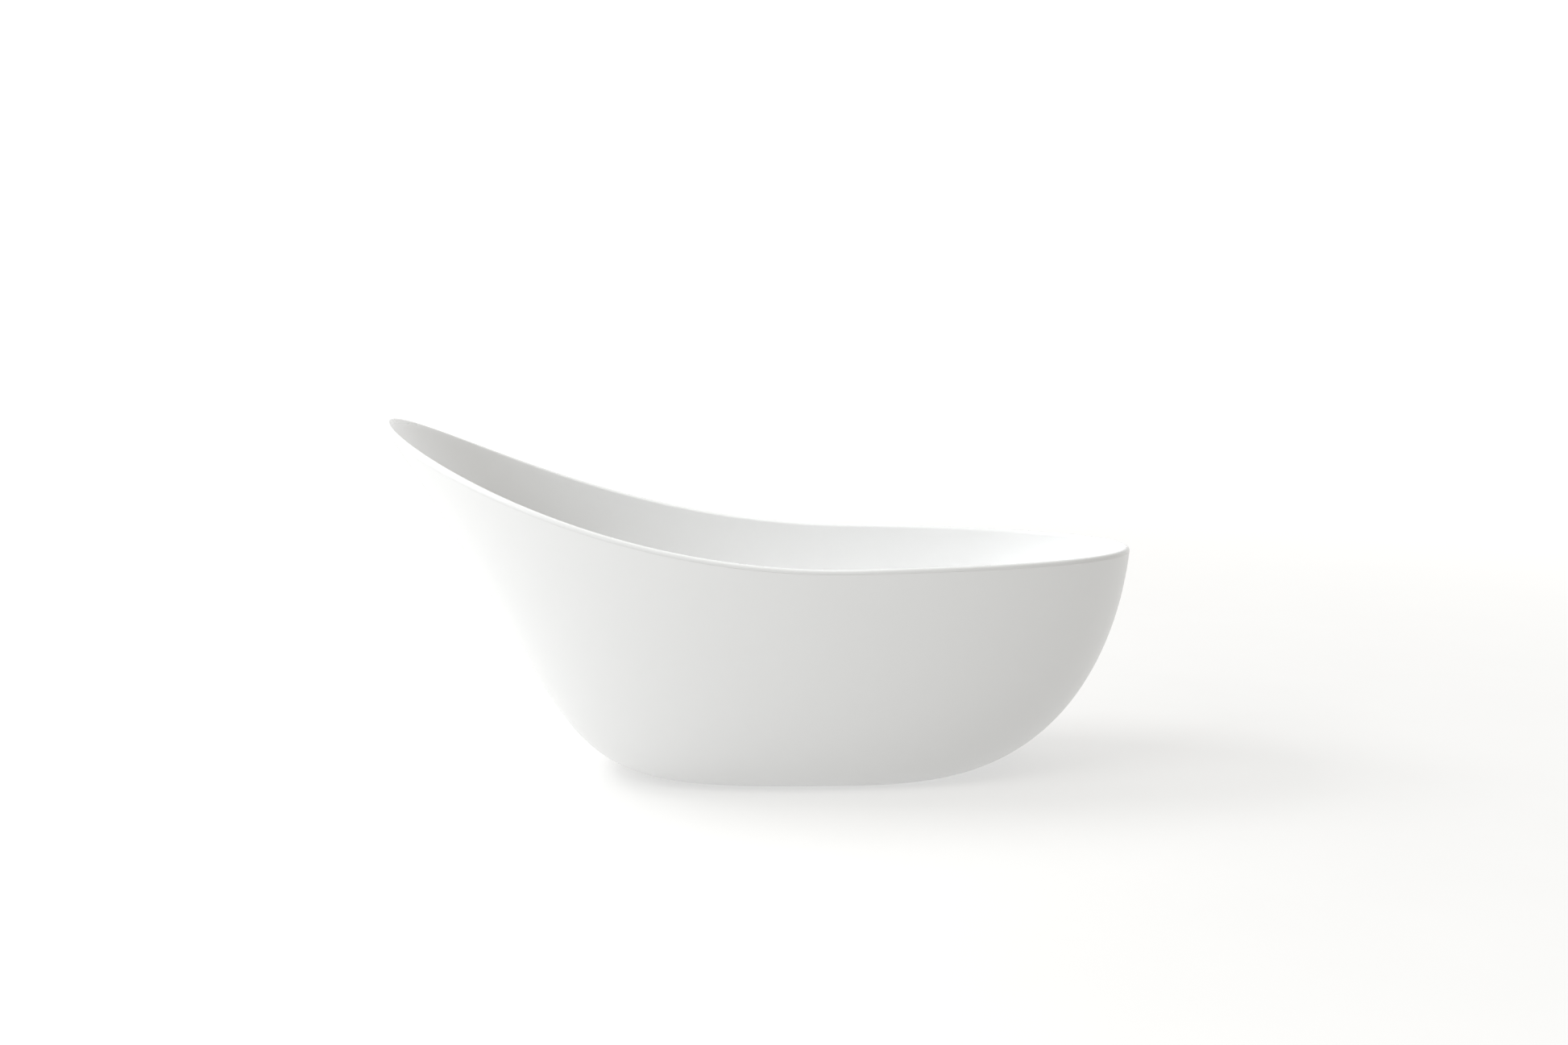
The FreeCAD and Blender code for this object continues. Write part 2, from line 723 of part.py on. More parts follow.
def build_foot(name, x, y):
    """One foot: rubber sole, plate with a cup, and a threaded stud that turns in the cup."""
    sole = turned(f"sole_{name}", [
        (0, 0), ("pad_radius - 1", 0), ("pad_radius", 1), ("pad_radius", "pad_rubber"), (0, "pad_rubber"),
    ], x, y, 0)
    keep(sole, f"foot_sole_{name}")
    socket = "stud_radius + stud_gap"
    plate = turned(f"plate_{name}", [
        (0, 0), ("pad_radius - 1", 0), ("pad_radius - 1", "pad_plate / 2"), ("pad_cup_radius", "pad_plate"),
        ("pad_cup_radius", "pad_plate + pad_cup_height"), (socket, "pad_plate + pad_cup_height"),
        (socket, "pad_plate"), (0, "pad_plate"),
    ], x, y, "pad_rubber")
    keep(plate, f"foot_plate_{name}")
    shaft = rod(f"shaft_{name}", "stud_radius", STUD_LENGTH, x, y, STUD_END)
    collar = hexagon(f"collar_{name}", "stud_collar_radius", "stud_collar_height", x, y,
                     f"{CUP_TOP} + seat_gap")
    keep(fuse(f"stud_{name}", [shaft, collar]), f"foot_stud_{name}")


def build_feet():
    """Four feet with the threaded bosses and lock nuts that hold them."""
    bosses = []
    nuts = []
    for side, y in SIDES:
        for end, x in ENDS:
            name = f"{end}_{side}"
            build_foot(name, x, y)
            ring = ring_points("boss_radius", "stud_radius + stud_gap", "boss_height")
            bosses.append(turned(f"boss_{name}", ring, x, y, BOSS_BOTTOM))
            blank = hexagon(f"nut_blank_{name}", "lock_nut_radius", "lock_nut_height", x, y, NUT_BOTTOM)
            bore = rod(f"nut_bore_{name}", "stud_radius + stud_gap", "lock_nut_height * 3", x, y,
                       f"{NUT_BOTTOM} - lock_nut_height")
            nuts.append(cut(f"nut_{name}", blank, [bore]))
    keep(group("bosses_all", bosses), "foot_bosses")
    keep(group("nuts_all", nuts), "foot_lock_nuts")


# ---- Waste and plug ------------------------------------------------------------------------------------

FLANGE_BOTTOM = f"({RECESS} + seal_thick)"
TAIL_BOTTOM = f"({FLANGE_BOTTOM} - tail_length)"
BODY_TOP = f"({TAIL_BOTTOM} + body_overlap)"
BODY_RADIUS = "(waste_tail + body_wall)"
OUTLET_TOP = "(outlet_lift + outlet_length)"
HUB_TOP = f"({FLANGE_BOTTOM} - spoke_height)"
CLOSED_SEAL = f"({FLANGE_BOTTOM} + flange_seat + seat_gap)"
OPEN_SEAL = f"({CLOSED_SEAL} + plug_travel)"
CARTRIDGE_TOP = f"({FLANGE_BOTTOM} - 2)"
CARTRIDGE_BOTTOM = f"({CARTRIDGE_TOP} - cartridge_length)"
SPRING_FOOT = f"({CARTRIDGE_BOTTOM} + cartridge_wall)"
COLLAR_HEIGHT = "3"
LID = "3"
COLLAR_TOP = f"({CARTRIDGE_TOP} - {LID} - seat_gap)"
SPRING_TOP = f"({COLLAR_TOP} - {COLLAR_HEIGHT})"


def build_waste():
    """Flange with its threaded tail and the spokes that hold the cartridge, its seals and nuts."""
    flange = turned("flange_turned", [
        ("waste_bore", 0),
        ("waste_tail", 0),
        ("waste_tail", "tail_length"),
        ("flange_radius", "tail_length"),
        ("flange_radius", "tail_length + flange_rim - 1"),
        ("flange_radius - 1", "tail_length + flange_rim"),
        ("flange_radius - 3", "tail_length + flange_rim"),
        ("plug_seal_outer + 1", "tail_length + flange_seat"),
        ("waste_bore + 1", "tail_length + flange_seat"),
        ("waste_bore", "tail_length + flange_seat - 1"),
    ], "waste_x", 0, TAIL_BOTTOM)
    spokes = [
        box("spoke_x", "waste_bore * 2 + 2", "spoke_width", "spoke_height", "waste_x", 0,
            f"{HUB_TOP} - spoke_height"),
        box("spoke_y", "spoke_width", "waste_bore * 2 + 2", "spoke_height", "waste_x", 0,
            f"{HUB_TOP} - spoke_height"),
        rod("spoke_hub", "cartridge_radius + 2", "spoke_height", "waste_x", 0, f"{HUB_TOP} - spoke_height"),
    ]
    whole = fuse("flange_whole", [flange] + spokes)
    bore = rod("hub_bore", "cartridge_radius", "spoke_height * 3", "waste_x", 0,
               f"{HUB_TOP} - spoke_height * 2")
    keep(cut("flange", whole, [bore]), "waste_flange")

    upper = ring_points("flange_radius - 2", "waste_tail + hole_gap", "seal_thick")
    keep(turned("upper_seal", upper, "waste_x", 0, RECESS), "waste_upper_seal")
    washer = ring_points(f"{PAD} - 3", "waste_tail", "washer_thick")
    keep(turned("lower_washer", washer, "waste_x", 0, f"{UNDER_PAD} - washer_thick"), "waste_lower_washer")

    nut_bottom = f"({UNDER_PAD} - washer_thick - back_nut_height)"
    nut = hexagon("back_nut_blank", across_flats("waste_tail + back_nut_wall"), "back_nut_height", "waste_x",
                  0, nut_bottom)
    nut_bore = rod("back_nut_bore", "waste_tail", "back_nut_height * 3", "waste_x", 0,
                   f"{nut_bottom} - back_nut_height")
    keep(cut("back_nut", nut, [nut_bore]), "waste_back_nut")

    drum = turned("body_turned", [
        ("outlet_radius - body_wall", 0),
        ("outlet_radius", 0),
        ("outlet_radius", "outlet_length"),
        (BODY_RADIUS, "outlet_length + body_wall * 2"),
        (BODY_RADIUS, f"{BODY_TOP} - outlet_lift"),
        ("waste_tail", f"{BODY_TOP} - outlet_lift"),
        ("waste_tail", f"{TAIL_BOTTOM} - outlet_lift"),
        ("waste_bore", f"{TAIL_BOTTOM} - outlet_lift"),
        ("waste_bore", "outlet_length + body_wall * 2"),
        ("outlet_radius - body_wall", "outlet_length"),
    ], "waste_x", 0, "outlet_lift")
    spigot = inlet_rod("inlet_spigot", "pipe_radius - pipe_wall",
                       f"{BODY_RADIUS} - waste_bore + spigot_length")
    inlet = inlet_rod("inlet_bore", "pipe_radius - pipe_wall * 2", f"{BODY_RADIUS} + spigot_length + 1")
    inlet.setExpression("Placement.Base.x", cells("waste_x"))
    spigot.setExpression("Placement.Base.x", cells("waste_x + waste_bore + 0.5"))
    keep(cut("waste_body_whole", fuse("waste_body_full", [drum, spigot]), [inlet]), "waste_body")

    union = hexagon("union_blank", across_flats(f"{BODY_RADIUS} + union_wall"), "union_height", "waste_x", 0,
                    f"{BODY_TOP} - union_height")
    union_bore = rod("union_bore", BODY_RADIUS, "union_height * 3", "waste_x", 0,
                     f"{BODY_TOP} - union_height * 2")
    keep(cut("union_nut", union, [union_bore]), "waste_union_nut")


def inlet_rod(name, radius, length):
    """A cylinder along +X at the overflow pipe's lowest run."""
    thing = doc.addObject("Part::Cylinder", name)
    bind(thing, Radius=radius, Height=length)
    thing.Placement = FreeCAD.Placement(Vector(0, 0, 0), FreeCAD.Rotation(Vector(0, 1, 0), 90))
    thing.setExpression("Placement.Base.z", cells("pipe_height"))
    return thing


def build_plug():
    """Push plug: a cartridge in the flange's hub, and the cap, seal and stem that travel."""
    bore = "cartridge_radius - cartridge_wall"
    guide = "stem_radius + stem_gap"
    cartridge = turned("cartridge", [
        (0, 0),
        ("cartridge_radius", 0),
        ("cartridge_radius", "cartridge_length"),
        (guide, "cartridge_length"),
        (guide, f"cartridge_length - {LID}"),
        (bore, f"cartridge_length - {LID}"),
        (bore, "cartridge_wall"),
        (0, "cartridge_wall"),
    ], "waste_x", 0, CARTRIDGE_BOTTOM)
    keep(cartridge, "plug_cartridge")

    lift = f"({OPEN_SEAL} - {SPRING_TOP})"
    collar = f"{bore} - seat_gap"
    thread = "plug_seal_thick + plug_height / 2"
    stem = turned("stem", [
        (0, 0),
        (collar, 0),
        (collar, COLLAR_HEIGHT),
        ("stem_radius", COLLAR_HEIGHT),
        ("stem_radius", f"{lift} + {thread}"),
        (0, f"{lift} + {thread}"),
    ], "waste_x", 0, SPRING_TOP)
    keep(stem, "plug_stem")

    seal = ring_points("plug_seal_outer", "plug_seal_inner", "plug_seal_thick")
    keep(turned("plug_ring", seal, "waste_x", 0, OPEN_SEAL), "plug_seal")
    cap = turned("plug_cap_turned", [
        ("stem_radius", 0),
        ("plug_seal_inner", 0),
        ("plug_seal_inner", "plug_seal_thick"),
        ("plug_radius", "plug_seal_thick"),
        ("plug_radius", "plug_seal_thick + 1.5"),
        ("plug_radius - 2", "plug_seal_thick + 2.5"),
        ("plug_radius * 0.6", "plug_seal_thick + plug_height * 0.85"),
        ("plug_radius * 0.3", "plug_seal_thick + plug_height * 0.97"),
        (0, "plug_seal_thick + plug_height"),
        (0, thread),
        ("stem_radius", thread),
    ], "waste_x", 0, OPEN_SEAL)
    keep(cap, "plug_cap")

    height = size(f"{SPRING_TOP} - {SPRING_FOOT}")
    wire = size("spring_wire")
    radius = size(bore) - wire - size("seat_gap")
    rise = height - 2 * wire
    helix = Part.makeHelix(rise / size("spring_turns"), rise, radius)
    start = Part.Circle(Vector(radius, 0, 0), Vector(0, 1, 0), wire).toShape()
    coil = Part.Wire(helix.Edges).makePipeShell([Part.Wire([start])], True, True)
    spring = doc.addObject("Part::Feature", "spring")
    spring.Shape = coil
    foot = Vector(size("waste_x"), 0, size(SPRING_FOOT) + wire)
    spring.Placement = FreeCAD.Placement(foot, FreeCAD.Rotation())
    keep(spring, "plug_spring")


# ---- Overflow ------------------------------------------------------------------------------------------

GASKET_BACK = "(-(pad_thick + overflow_gasket))"
PIPE_DEPTH = "(-(basin_wall + pipe_gap + clip_thick + pipe_radius))"
BODY_DEPTH = f"(2 * ({GASKET_BACK} - {PIPE_DEPTH}))"


def turned_on_wall(name, points, depth):
    """A body turned about the overflow's axis, its outline starting at a depth."""
    body = turned(name, points)
    for axis in ("x", "y", "z"):
        body.setExpression(f"Placement.Base.{axis}", None)
    return on_wall(body, depth)


def wall_to_room(up, depth):
    """A point on the overflow's own axes, in the tub's frame."""
    return overflow_place.multVec(Vector(size(up), 0, size(depth)))


def rod_up_wall(name, radius, length, up, depth):
    """A cylinder that runs down the wall from a place on the overflow's axes."""
    thing = doc.addObject("Part::Cylinder", name)
    bind(thing, Radius=radius, Height=length)
    turn = overflow_place.Rotation.multiply(FreeCAD.Rotation(Vector(0, 1, 0), -90))
    thing.Placement = FreeCAD.Placement(wall_to_room(up, depth), turn)
    return thing


def pipe_points():
    """The overflow pipe's route: down between the skins, then under the floor to the waste."""
    exit_up = "(-(overflow_body_radius + spigot_length))"
    start = wall_to_room("-overflow_body_radius", PIPE_DEPTH)
    below = wall_to_room(exit_up, PIPE_DEPTH)
    down = (below - start).normalize()
    skirt = skirt_back_rows()
    basin = basin_back_rows()
    points = [start, start + down * size("spigot_length * 3")]
    middle = size("floor_height")
    outer, _ = rib_point(skirt, middle)
    inner, _ = rib_point(basin, middle + size("basin_wall"))
    points.append(Vector(inner.x + (outer.x - inner.x) * 0.55, 0, middle))
    low = size("pipe_height")
    end = size(f"waste_x + {BODY_RADIUS}")
    points.append(Vector(end + (points[-1].x - end) * 0.55, 0, low))
    points.append(Vector(end, 0, low))
    return points


def rounded_wire(points):
    """Straight runs joined by tangent arcs, each as large as its runs allow."""
    edges = []
    last = points[0]
    for before, corner, after in zip(points, points[1:], points[2:]):
        inward = (corner - before).normalize()
        onward = (after - corner).normalize()
        turn = math.acos(max(-1.0, min(1.0, inward.dot(onward))))
        shorter = min((corner - before).Length, (after - corner).Length)
        set_back = 0.45 * shorter
        radius = set_back / math.tan(turn / 2)
        print(f"pipe arc: turn {math.degrees(turn):.0f} degrees, radius {radius:.0f} mm")
        first = corner - inward * set_back
        final = corner + onward * set_back
        centre_way = (onward - inward).normalize()
        centre = corner + centre_way * (radius / math.cos(turn / 2))
        middle = centre - centre_way * radius
        edges.append(Part.LineSegment(last, first).toShape())
        edges.append(Part.Arc(first, middle, final).toShape())
        last = final
    edges.append(Part.LineSegment(last, points[-1]).toShape())
    return Part.Wire(edges)


def swept(wire, radius):
    """A round bar along a wire."""
    edge = wire.Edges[0]
    start = edge.valueAt(edge.FirstParameter)
    section = Part.Wire([Part.Circle(start, edge.tangentAt(edge.FirstParameter), radius).toShape()])
    return wire.makePipeShell([section], True, False)


def build_overflow():
    """Cover, screw, gasket and body of the overflow, and the pipe that takes its water to the waste."""
    wall = "overflow_shell"
    slot_top = "overflow_cover_depth - overflow_shell * 2"
    cover = turned_on_wall("cover_turned", [
        ("overflow_screw", f"overflow_cover_depth - {wall}"),
        (f"overflow_radius - {wall}", f"overflow_cover_depth - {wall}"),
        (f"overflow_radius - {wall}", 0),
        ("overflow_radius", 0),
        ("overflow_radius", "overflow_cover_depth - 1"),
        ("overflow_radius - 1", "overflow_cover_depth"),
        ("overflow_screw", "overflow_cover_depth"),
    ], 0)
    mouth = doc.addObject("Part::Box", "cover_mouth")
    bind(mouth, Length="overflow_radius", Width="overflow_radius", Height=slot_top)
    mouth.Placement = FreeCAD.Placement(
        wall_to_room("-overflow_radius * 1.4", "overflow_shell / 2")
        - overflow_place.Rotation.multVec(Vector(0, size("overflow_radius / 2"), 0)),
        overflow_place.Rotation,
    )
    keep(cut("cover", cover, [mouth]), "overflow_cover")

    gasket = ring_points("overflow_body_radius", "overflow_hole", "overflow_gasket")
    keep(turned_on_wall("gasket", gasket, GASKET_BACK), "overflow_gasket")

    deep = BODY_DEPTH
    can = turned_on_wall("can", [
        (0, 0),
        ("overflow_body_radius", 0),
        ("overflow_body_radius", deep),
        ("overflow_hole", deep),
        ("overflow_hole", wall),
        ("overflow_screw + 3", wall),
        ("overflow_screw + 3", deep),
        ("overflow_screw", deep),
        ("overflow_screw", wall),
        (0, wall),
    ], f"{GASKET_BACK} - {BODY_DEPTH}")
    spigot = rod_up_wall("spigot", "pipe_radius - pipe_wall",
                         "overflow_body_radius - overflow_hole + spigot_length - 0.5",
                         "-(overflow_hole + 0.5)", PIPE_DEPTH)
    way = rod_up_wall("spigot_way", "pipe_radius - pipe_wall * 2", "overflow_body_radius + spigot_length",
                      "-(overflow_screw + 4)", PIPE_DEPTH)
    keep(cut("overflow_body_whole", fuse("overflow_body_full", [can, spigot]), [way]), "overflow_body")

    length = f"(overflow_cover_depth - {GASKET_BACK} + {BODY_DEPTH} - {wall} - 1)"
    shank = free_rod("overflow_screw_shank", "overflow_screw", length)
    on_wall(shank, f"overflow_cover_depth - {length}")
    head = on_wall(free_rod("overflow_screw_head", "overflow_screw * 2", 2), "overflow_cover_depth")
    keep(fuse("overflow_screw_whole", [shank, head]), "overflow_screw")

    wire = rounded_wire(pipe_points())
    outer = swept(wire, size("pipe_radius"))
    inner = swept(wire, size("pipe_radius - pipe_wall"))
    pipe = doc.addObject("Part::Feature", "pipe")
    pipe.Shape = outer.cut(inner)
    pipe.Placement = FreeCAD.Placement()
    keep(pipe, "overflow_pipe")
    area = math.pi * (size("pipe_radius") ** 2 - size("pipe_radius - pipe_wall") ** 2)
    print(f"pipe: volume {pipe.Shape.Volume:.0f}, section times length {area * wire.Length:.0f}")

    upper = rod_up_wall("clip_upper_blank", "pipe_radius + clip_thick", "clip_width",
                        "-(overflow_body_radius + clip_width / 2)", PIPE_DEPTH)
    upper_bore = rod_up_wall("clip_upper_bore", "pipe_radius", "clip_width * 2",
                             "-(overflow_body_radius)", PIPE_DEPTH)
    lower = inlet_rod("clip_lower_blank", "pipe_radius + clip_thick", "clip_width")
    lower.setExpression("Placement.Base.x", cells(f"waste_x + {BODY_RADIUS} + clip_width / 2"))
    lower_bore = inlet_rod("clip_lower_bore", "pipe_radius", "clip_width * 2")
    lower_bore.setExpression("Placement.Base.x", cells(f"waste_x + {BODY_RADIUS}"))
    clips = [cut("clip_upper", upper, [upper_bore]), cut("clip_lower", lower, [lower_bore])]
    keep(group("clips_all", clips), "pipe_clips")


build_basin()
build_skirt()
build_board()
build_frame()
build_feet()
build_waste()
build_plug()
build_overflow()
doc.recompute()

# ---- Checks and export ---------------------------------------------------------------------------------

for thing in doc.Objects:
    if "Invalid" in thing.State or "Error" in thing.State:
        raise RuntimeError(f"{thing.Name} failed: {thing.State}")
for thing in subparts:
    if thing.Shape.isNull() or not thing.Shape.isValid() or not thing.Shape.Solids:
        raise RuntimeError(f"{thing.Label} has no sound shape")

os.makedirs("parts", exist_ok=True)
for thing in subparts:
    thing.Shape.exportStep(os.path.join("parts", f"{thing.Label}.step"))
    print(f"{thing.Label}: {len(thing.Shape.Solids)} solid(s), {thing.Shape.Volume / 1000:.1f} cm3")
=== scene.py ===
"""Looks of a freestanding slipper bathtub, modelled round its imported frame.

Lengths are in metres, +Z is up and +X points to the foot end.
"""

import json
import logging
import math
from dataclasses import dataclass
from enum import Enum
from typing import Callable, Optional, Sequence, Union

import bpy
from mathutils import Matrix, Vector


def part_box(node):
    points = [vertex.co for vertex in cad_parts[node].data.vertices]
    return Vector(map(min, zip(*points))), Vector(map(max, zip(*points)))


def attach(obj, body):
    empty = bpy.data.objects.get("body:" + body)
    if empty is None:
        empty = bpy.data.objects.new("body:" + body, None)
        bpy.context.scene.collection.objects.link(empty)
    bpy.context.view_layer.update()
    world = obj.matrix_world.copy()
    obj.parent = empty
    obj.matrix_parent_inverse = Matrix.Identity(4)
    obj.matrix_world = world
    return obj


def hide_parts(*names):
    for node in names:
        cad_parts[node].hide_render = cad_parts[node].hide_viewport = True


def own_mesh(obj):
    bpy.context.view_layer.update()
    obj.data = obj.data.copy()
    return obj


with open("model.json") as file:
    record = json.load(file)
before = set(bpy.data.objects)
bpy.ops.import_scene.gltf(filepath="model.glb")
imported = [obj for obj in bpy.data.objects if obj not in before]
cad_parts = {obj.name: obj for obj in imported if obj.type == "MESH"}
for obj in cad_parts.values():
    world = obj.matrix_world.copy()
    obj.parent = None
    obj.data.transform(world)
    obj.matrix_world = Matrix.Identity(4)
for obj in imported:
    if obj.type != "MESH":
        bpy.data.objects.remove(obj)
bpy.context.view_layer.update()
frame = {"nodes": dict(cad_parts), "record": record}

LOG = logging.getLogger("bathtub")
MM = 0.001
TUB = "tub"

Colour = tuple[float, float, float]
Point = tuple[float, float, float]
Profile = Sequence[tuple[float, float]]
Row = list[Vector]

ORIGIN: Point = (0.0, 0.0, 0.0)

# ---- Shader maths ----------------------------------------------------------------------------------


class Value:
    """A number socket that takes part in Python arithmetic."""

    def __init__(self, shader: "Shader", socket: bpy.types.NodeSocket) -> None:
        """Wrap a socket of a shader."""
        self.shader = shader
        self.socket = socket

    def maths(self, operation: str, *others: "Input", clamp: bool = False) -> "Value":
        """Add a Math node.

        Args:
            operation: The node's operation.
            others: The inputs after this one.
            clamp: Whether the result stays between 0 and 1.

        Returns:
            The node's result.
        """
        settings = {"operation": operation, "use_clamp": clamp}
        return self.shader.node("ShaderNodeMath", settings, {0: self, **dict(enumerate(others, 1))})

    def __add__(self, other: "Input") -> "Value":
        """Sum."""
        return self.maths("ADD", other)

    __radd__ = __add__

    def __sub__(self, other: "Input") -> "Value":
        """Difference."""
        return self.maths("SUBTRACT", other)

    def __rsub__(self, other: "Input") -> "Value":
        """Difference the other way round."""
        return self.maths("MULTIPLY", -1.0) + other

    def __mul__(self, other: "Input") -> "Value":
        """Product."""
        return self.maths("MULTIPLY", other)

    __rmul__ = __mul__

    def __truediv__(self, other: "Input") -> "Value":
        """Quotient."""
        return self.maths("DIVIDE", other)

    def at_least(self, other: "Input") -> "Value":
        """The larger of the two."""
        return self.maths("MAXIMUM", other)

    def clamped(self) -> "Value":
        """The value held between 0 and 1."""
        return self.maths("ADD", 0.0, clamp=True)


Input = Union[Value, bpy.types.NodeSocket, float, Sequence[float]]


class Shader:
    """The nodes of one material or world."""

    def __init__(self, tree: bpy.types.NodeTree, surface: str = "BSDF_PRINCIPLED") -> None:
        """Take a node tree and find its surface node.

        Args:
            tree: The tree to fill.
            surface: Type of the node that shows.
        """
        self.tree = tree
        self.surface = next(n for n in tree.nodes if n.type == surface)

    def node(
        self,
        kind: str,
        settings: Optional[dict[str, object]] = None,
        inputs: Optional[dict[Union[str, int], Input]] = None,
        output: Union[str, int] = 0,
    ) -> Value:
        """Add any node.

        Args:
            kind: The node's type.
            settings: Its properties, set first.
            inputs: Values or links of its sockets, by name or number.
            output: The output to return, by name or number.

        Returns:
            The output, wrapped.
        """
        node = self.tree.nodes.new(kind)
        for key, value in (settings or {}).items():
            setattr(node, key, value)
        for key, value in (inputs or {}).items():
            self._feed(self._socket(node.inputs, key), value)
        return Value(self, self._socket(node.outputs, output))

    @staticmethod
    def _socket(
        sockets: bpy.types.bpy_prop_collection, key: Union[str, int]
    ) -> bpy.types.NodeSocket:
        """Find a socket of a node.

        Args:
            sockets: The node's inputs or outputs.
            key: The socket's number, or its name, which finds the enabled one of that name.

        Returns:
            The socket.
        """
        if isinstance(key, int):
            return sockets[key]
        return next(s for s in sockets if s.name == key and s.enabled)

    def _feed(self, socket: bpy.types.NodeSocket, value: Input) -> None:
        """Link or set one input.

        Args:
            socket: The input.
            value: A link, or the value that it is set to.
        """
        if isinstance(value, Value):
            self.tree.links.new(value.socket, socket)
        elif isinstance(value, bpy.types.NodeSocket):
            self.tree.links.new(value, socket)
        elif isinstance(value, (tuple, list)) and socket.type == "RGBA":
            socket.default_value = (*value[:3], 1.0)
        else:
            socket.default_value = value

    def set(self, **values: Input) -> None:
        """Set or link the surface's sockets; underscores stand for the names' spaces."""
        for name, value in values.items():
            self._feed(self.surface.inputs[name.replace("_", " ")], value)

    def place(self, scale: Point = (1.0, 1.0, 1.0)) -> Value:
        """Read the Object coordinates.

        Args:
            scale: How much each axis is stretched.

        Returns:
            The coordinates as a vector.
        """
        source = self.node("ShaderNodeTexCoord", output="Object")
        if scale == (1.0, 1.0, 1.0):
            return source
        return self.node("ShaderNodeMapping", {}, {"Vector": source, "Scale": scale})

    def axes(self) -> tuple[Value, Value, Value]:
        """Split the Object coordinates.

        Returns:
            X, Y and Z.
        """
        parts = self.node("ShaderNodeSeparateXYZ", {}, {0: self.place()})
        outputs = parts.socket.node.outputs
        return Value(self, outputs[0]), Value(self, outputs[1]), Value(self, outputs[2])

    def noise(self, scale: float, detail: float = 3.0, stretch: Point = (1.0, 1.0, 1.0)) -> Value:
        """Noise between about 0 and 1, its scale in lumps a metre."""
        inputs = {"Vector": self.place(stretch), "Scale": scale, "Detail": detail, "Roughness": 0.55}
        return self.node("ShaderNodeTexNoise", {"noise_dimensions": "3D"}, inputs)

    def cells(self, scale: float, feature: str = "F1", output: str = "Distance") -> Value:
        """Cell pattern, its scale in cells a metre."""
        return self.node("ShaderNodeTexVoronoi", {"feature": feature},
                         {"Vector": self.place(), "Scale": scale}, output)

    def mix(self, factor: Input, first: Input, second: Input) -> Value:
        """Blend two colours."""
        return self.node("ShaderNodeMix", {"data_type": "RGBA"},
                         {"Factor": factor, "A": first, "B": second}, "Result")

    def spread(self, value: Value, low: float, high: float) -> Value:
        """Stretch a value so that low becomes 0 and high becomes 1."""
        return ((value - low) / (high - low)).clamped()

    def edges(self, low: float = 0.52, high: float = 0.60) -> Value:
        """1 on worn outer edges, from the shape's own curvature."""
        point = self.node("ShaderNodeNewGeometry", output="Pointiness")
        return self.spread(point, low, high)

    def bump(self, height: Value, depth: float, strength: float = 1.0) -> None:
        """Raise the surface by a height, its full depth in metres."""
        inputs = {"Strength": strength, "Distance": depth, "Height": height}
        self.set(Normal=self.node("ShaderNodeBump", {}, inputs))


# ---- Finishes --------------------------------------------------------------------------------------


@dataclass(frozen=True)
class Finish:
    """A plain finish with mottled colour, uneven gloss, fine grain and worn edges."""

    name: str
    colour: Colour
    roughness: float
    metallic: float = 0.0
    mottle: float = 0.06
    mottle_scale: float = 25.0
    gloss_change: float = 0.06
    grain_scale: float = 900.0
    grain_depth: float = 0.00002
    stretch: Point = (1.0, 1.0, 1.0)
    wear: float = 0.0
    wear_colour: Colour = (0.8, 0.8, 0.8)
    coat: float = 0.0

    def shaded(self, share: float) -> Colour:
        """The colour made darker or lighter by a share."""
        return tuple(min(1.0, part * (1.0 + share)) for part in self.colour)

    def material(self) -> bpy.types.Material:
        """Make the finish's material the first time it is asked for.

        Returns:
            The material.
        """
        found = bpy.data.materials.get(self.name)
        if found:
            return found
        made = bpy.data.materials.new(self.name)
        made.use_nodes = True
        self.dress(Shader(made.node_tree))
        return made

    def dress(self, shader: Shader) -> None:
        """Build the nodes.

        Args:
            shader: The material to fill.
        """
        patches = shader.noise(self.mottle_scale, 4.0)
        base = shader.mix(patches, self.shaded(-self.mottle), self.shaded(self.mottle))
        gloss = shader.noise(self.mottle_scale * 2.3, 5.0, self.stretch)
        rough = self.roughness - self.gloss_change + gloss * (2.0 * self.gloss_change)
        if self.wear:
            worn = shader.edges() * self.wear
            base = shader.mix(worn, base, self.wear_colour)
            rough = rough - worn * (0.3 * self.roughness)
        grain = shader.noise(self.grain_scale, 2.0, self.stretch)
        shader.bump(grain, self.grain_depth)
        shader.set(Base_Color=base, Roughness=rough, Metallic=self.metallic, Coat_Weight=self.coat)


@dataclass(frozen=True)
class SanitaryAcrylic(Finish):
    """White cast acrylic: near even, with a faint hand-finished waviness and a polished lip.

    The fields repeat the rim's curve, so that the lip is told from the walls by its height.
    """

    low_rim: float = 0.540
    rise: float = 0.310
    level_from: float = 0.220
    climb_length: float = 1.120
    lip_depth: float = 0.020

    def dress(self, shader: Shader) -> None:
        """Build the nodes.

        Args:
            shader: The material to fill.
        """
        x, _, z = shader.axes()
        climb = ((self.level_from - x) / self.climb_length).at_least(0.0)
        below_rim = self.low_rim + climb * climb * self.rise - z
        lip = 1.0 - (below_rim / self.lip_depth).clamped()
        broad = shader.noise(2.2, 2.0)
        fine = shader.noise(38.0, 4.0)
        tone = shader.spread(broad * 0.7 + fine * 0.3, 0.3, 0.7)
        base = shader.mix(tone, self.shaded(-self.mottle), self.shaded(self.mottle))
        hazed = shader.spread(shader.noise(9.0, 6.0), 0.45, 0.75)
        rough = self.roughness + (hazed - 0.5) * self.gloss_change - lip * (0.25 * self.roughness)
        waves = shader.noise(7.0, 1.0)
        peel = shader.noise(self.grain_scale, 2.0)
        shader.bump(waves * 0.9 + peel * 0.1, self.grain_depth)
        shader.set(Base_Color=base, Roughness=rough, Coat_Weight=self.coat)
        shader.set(Coat_Roughness=0.12, IOR=1.49)


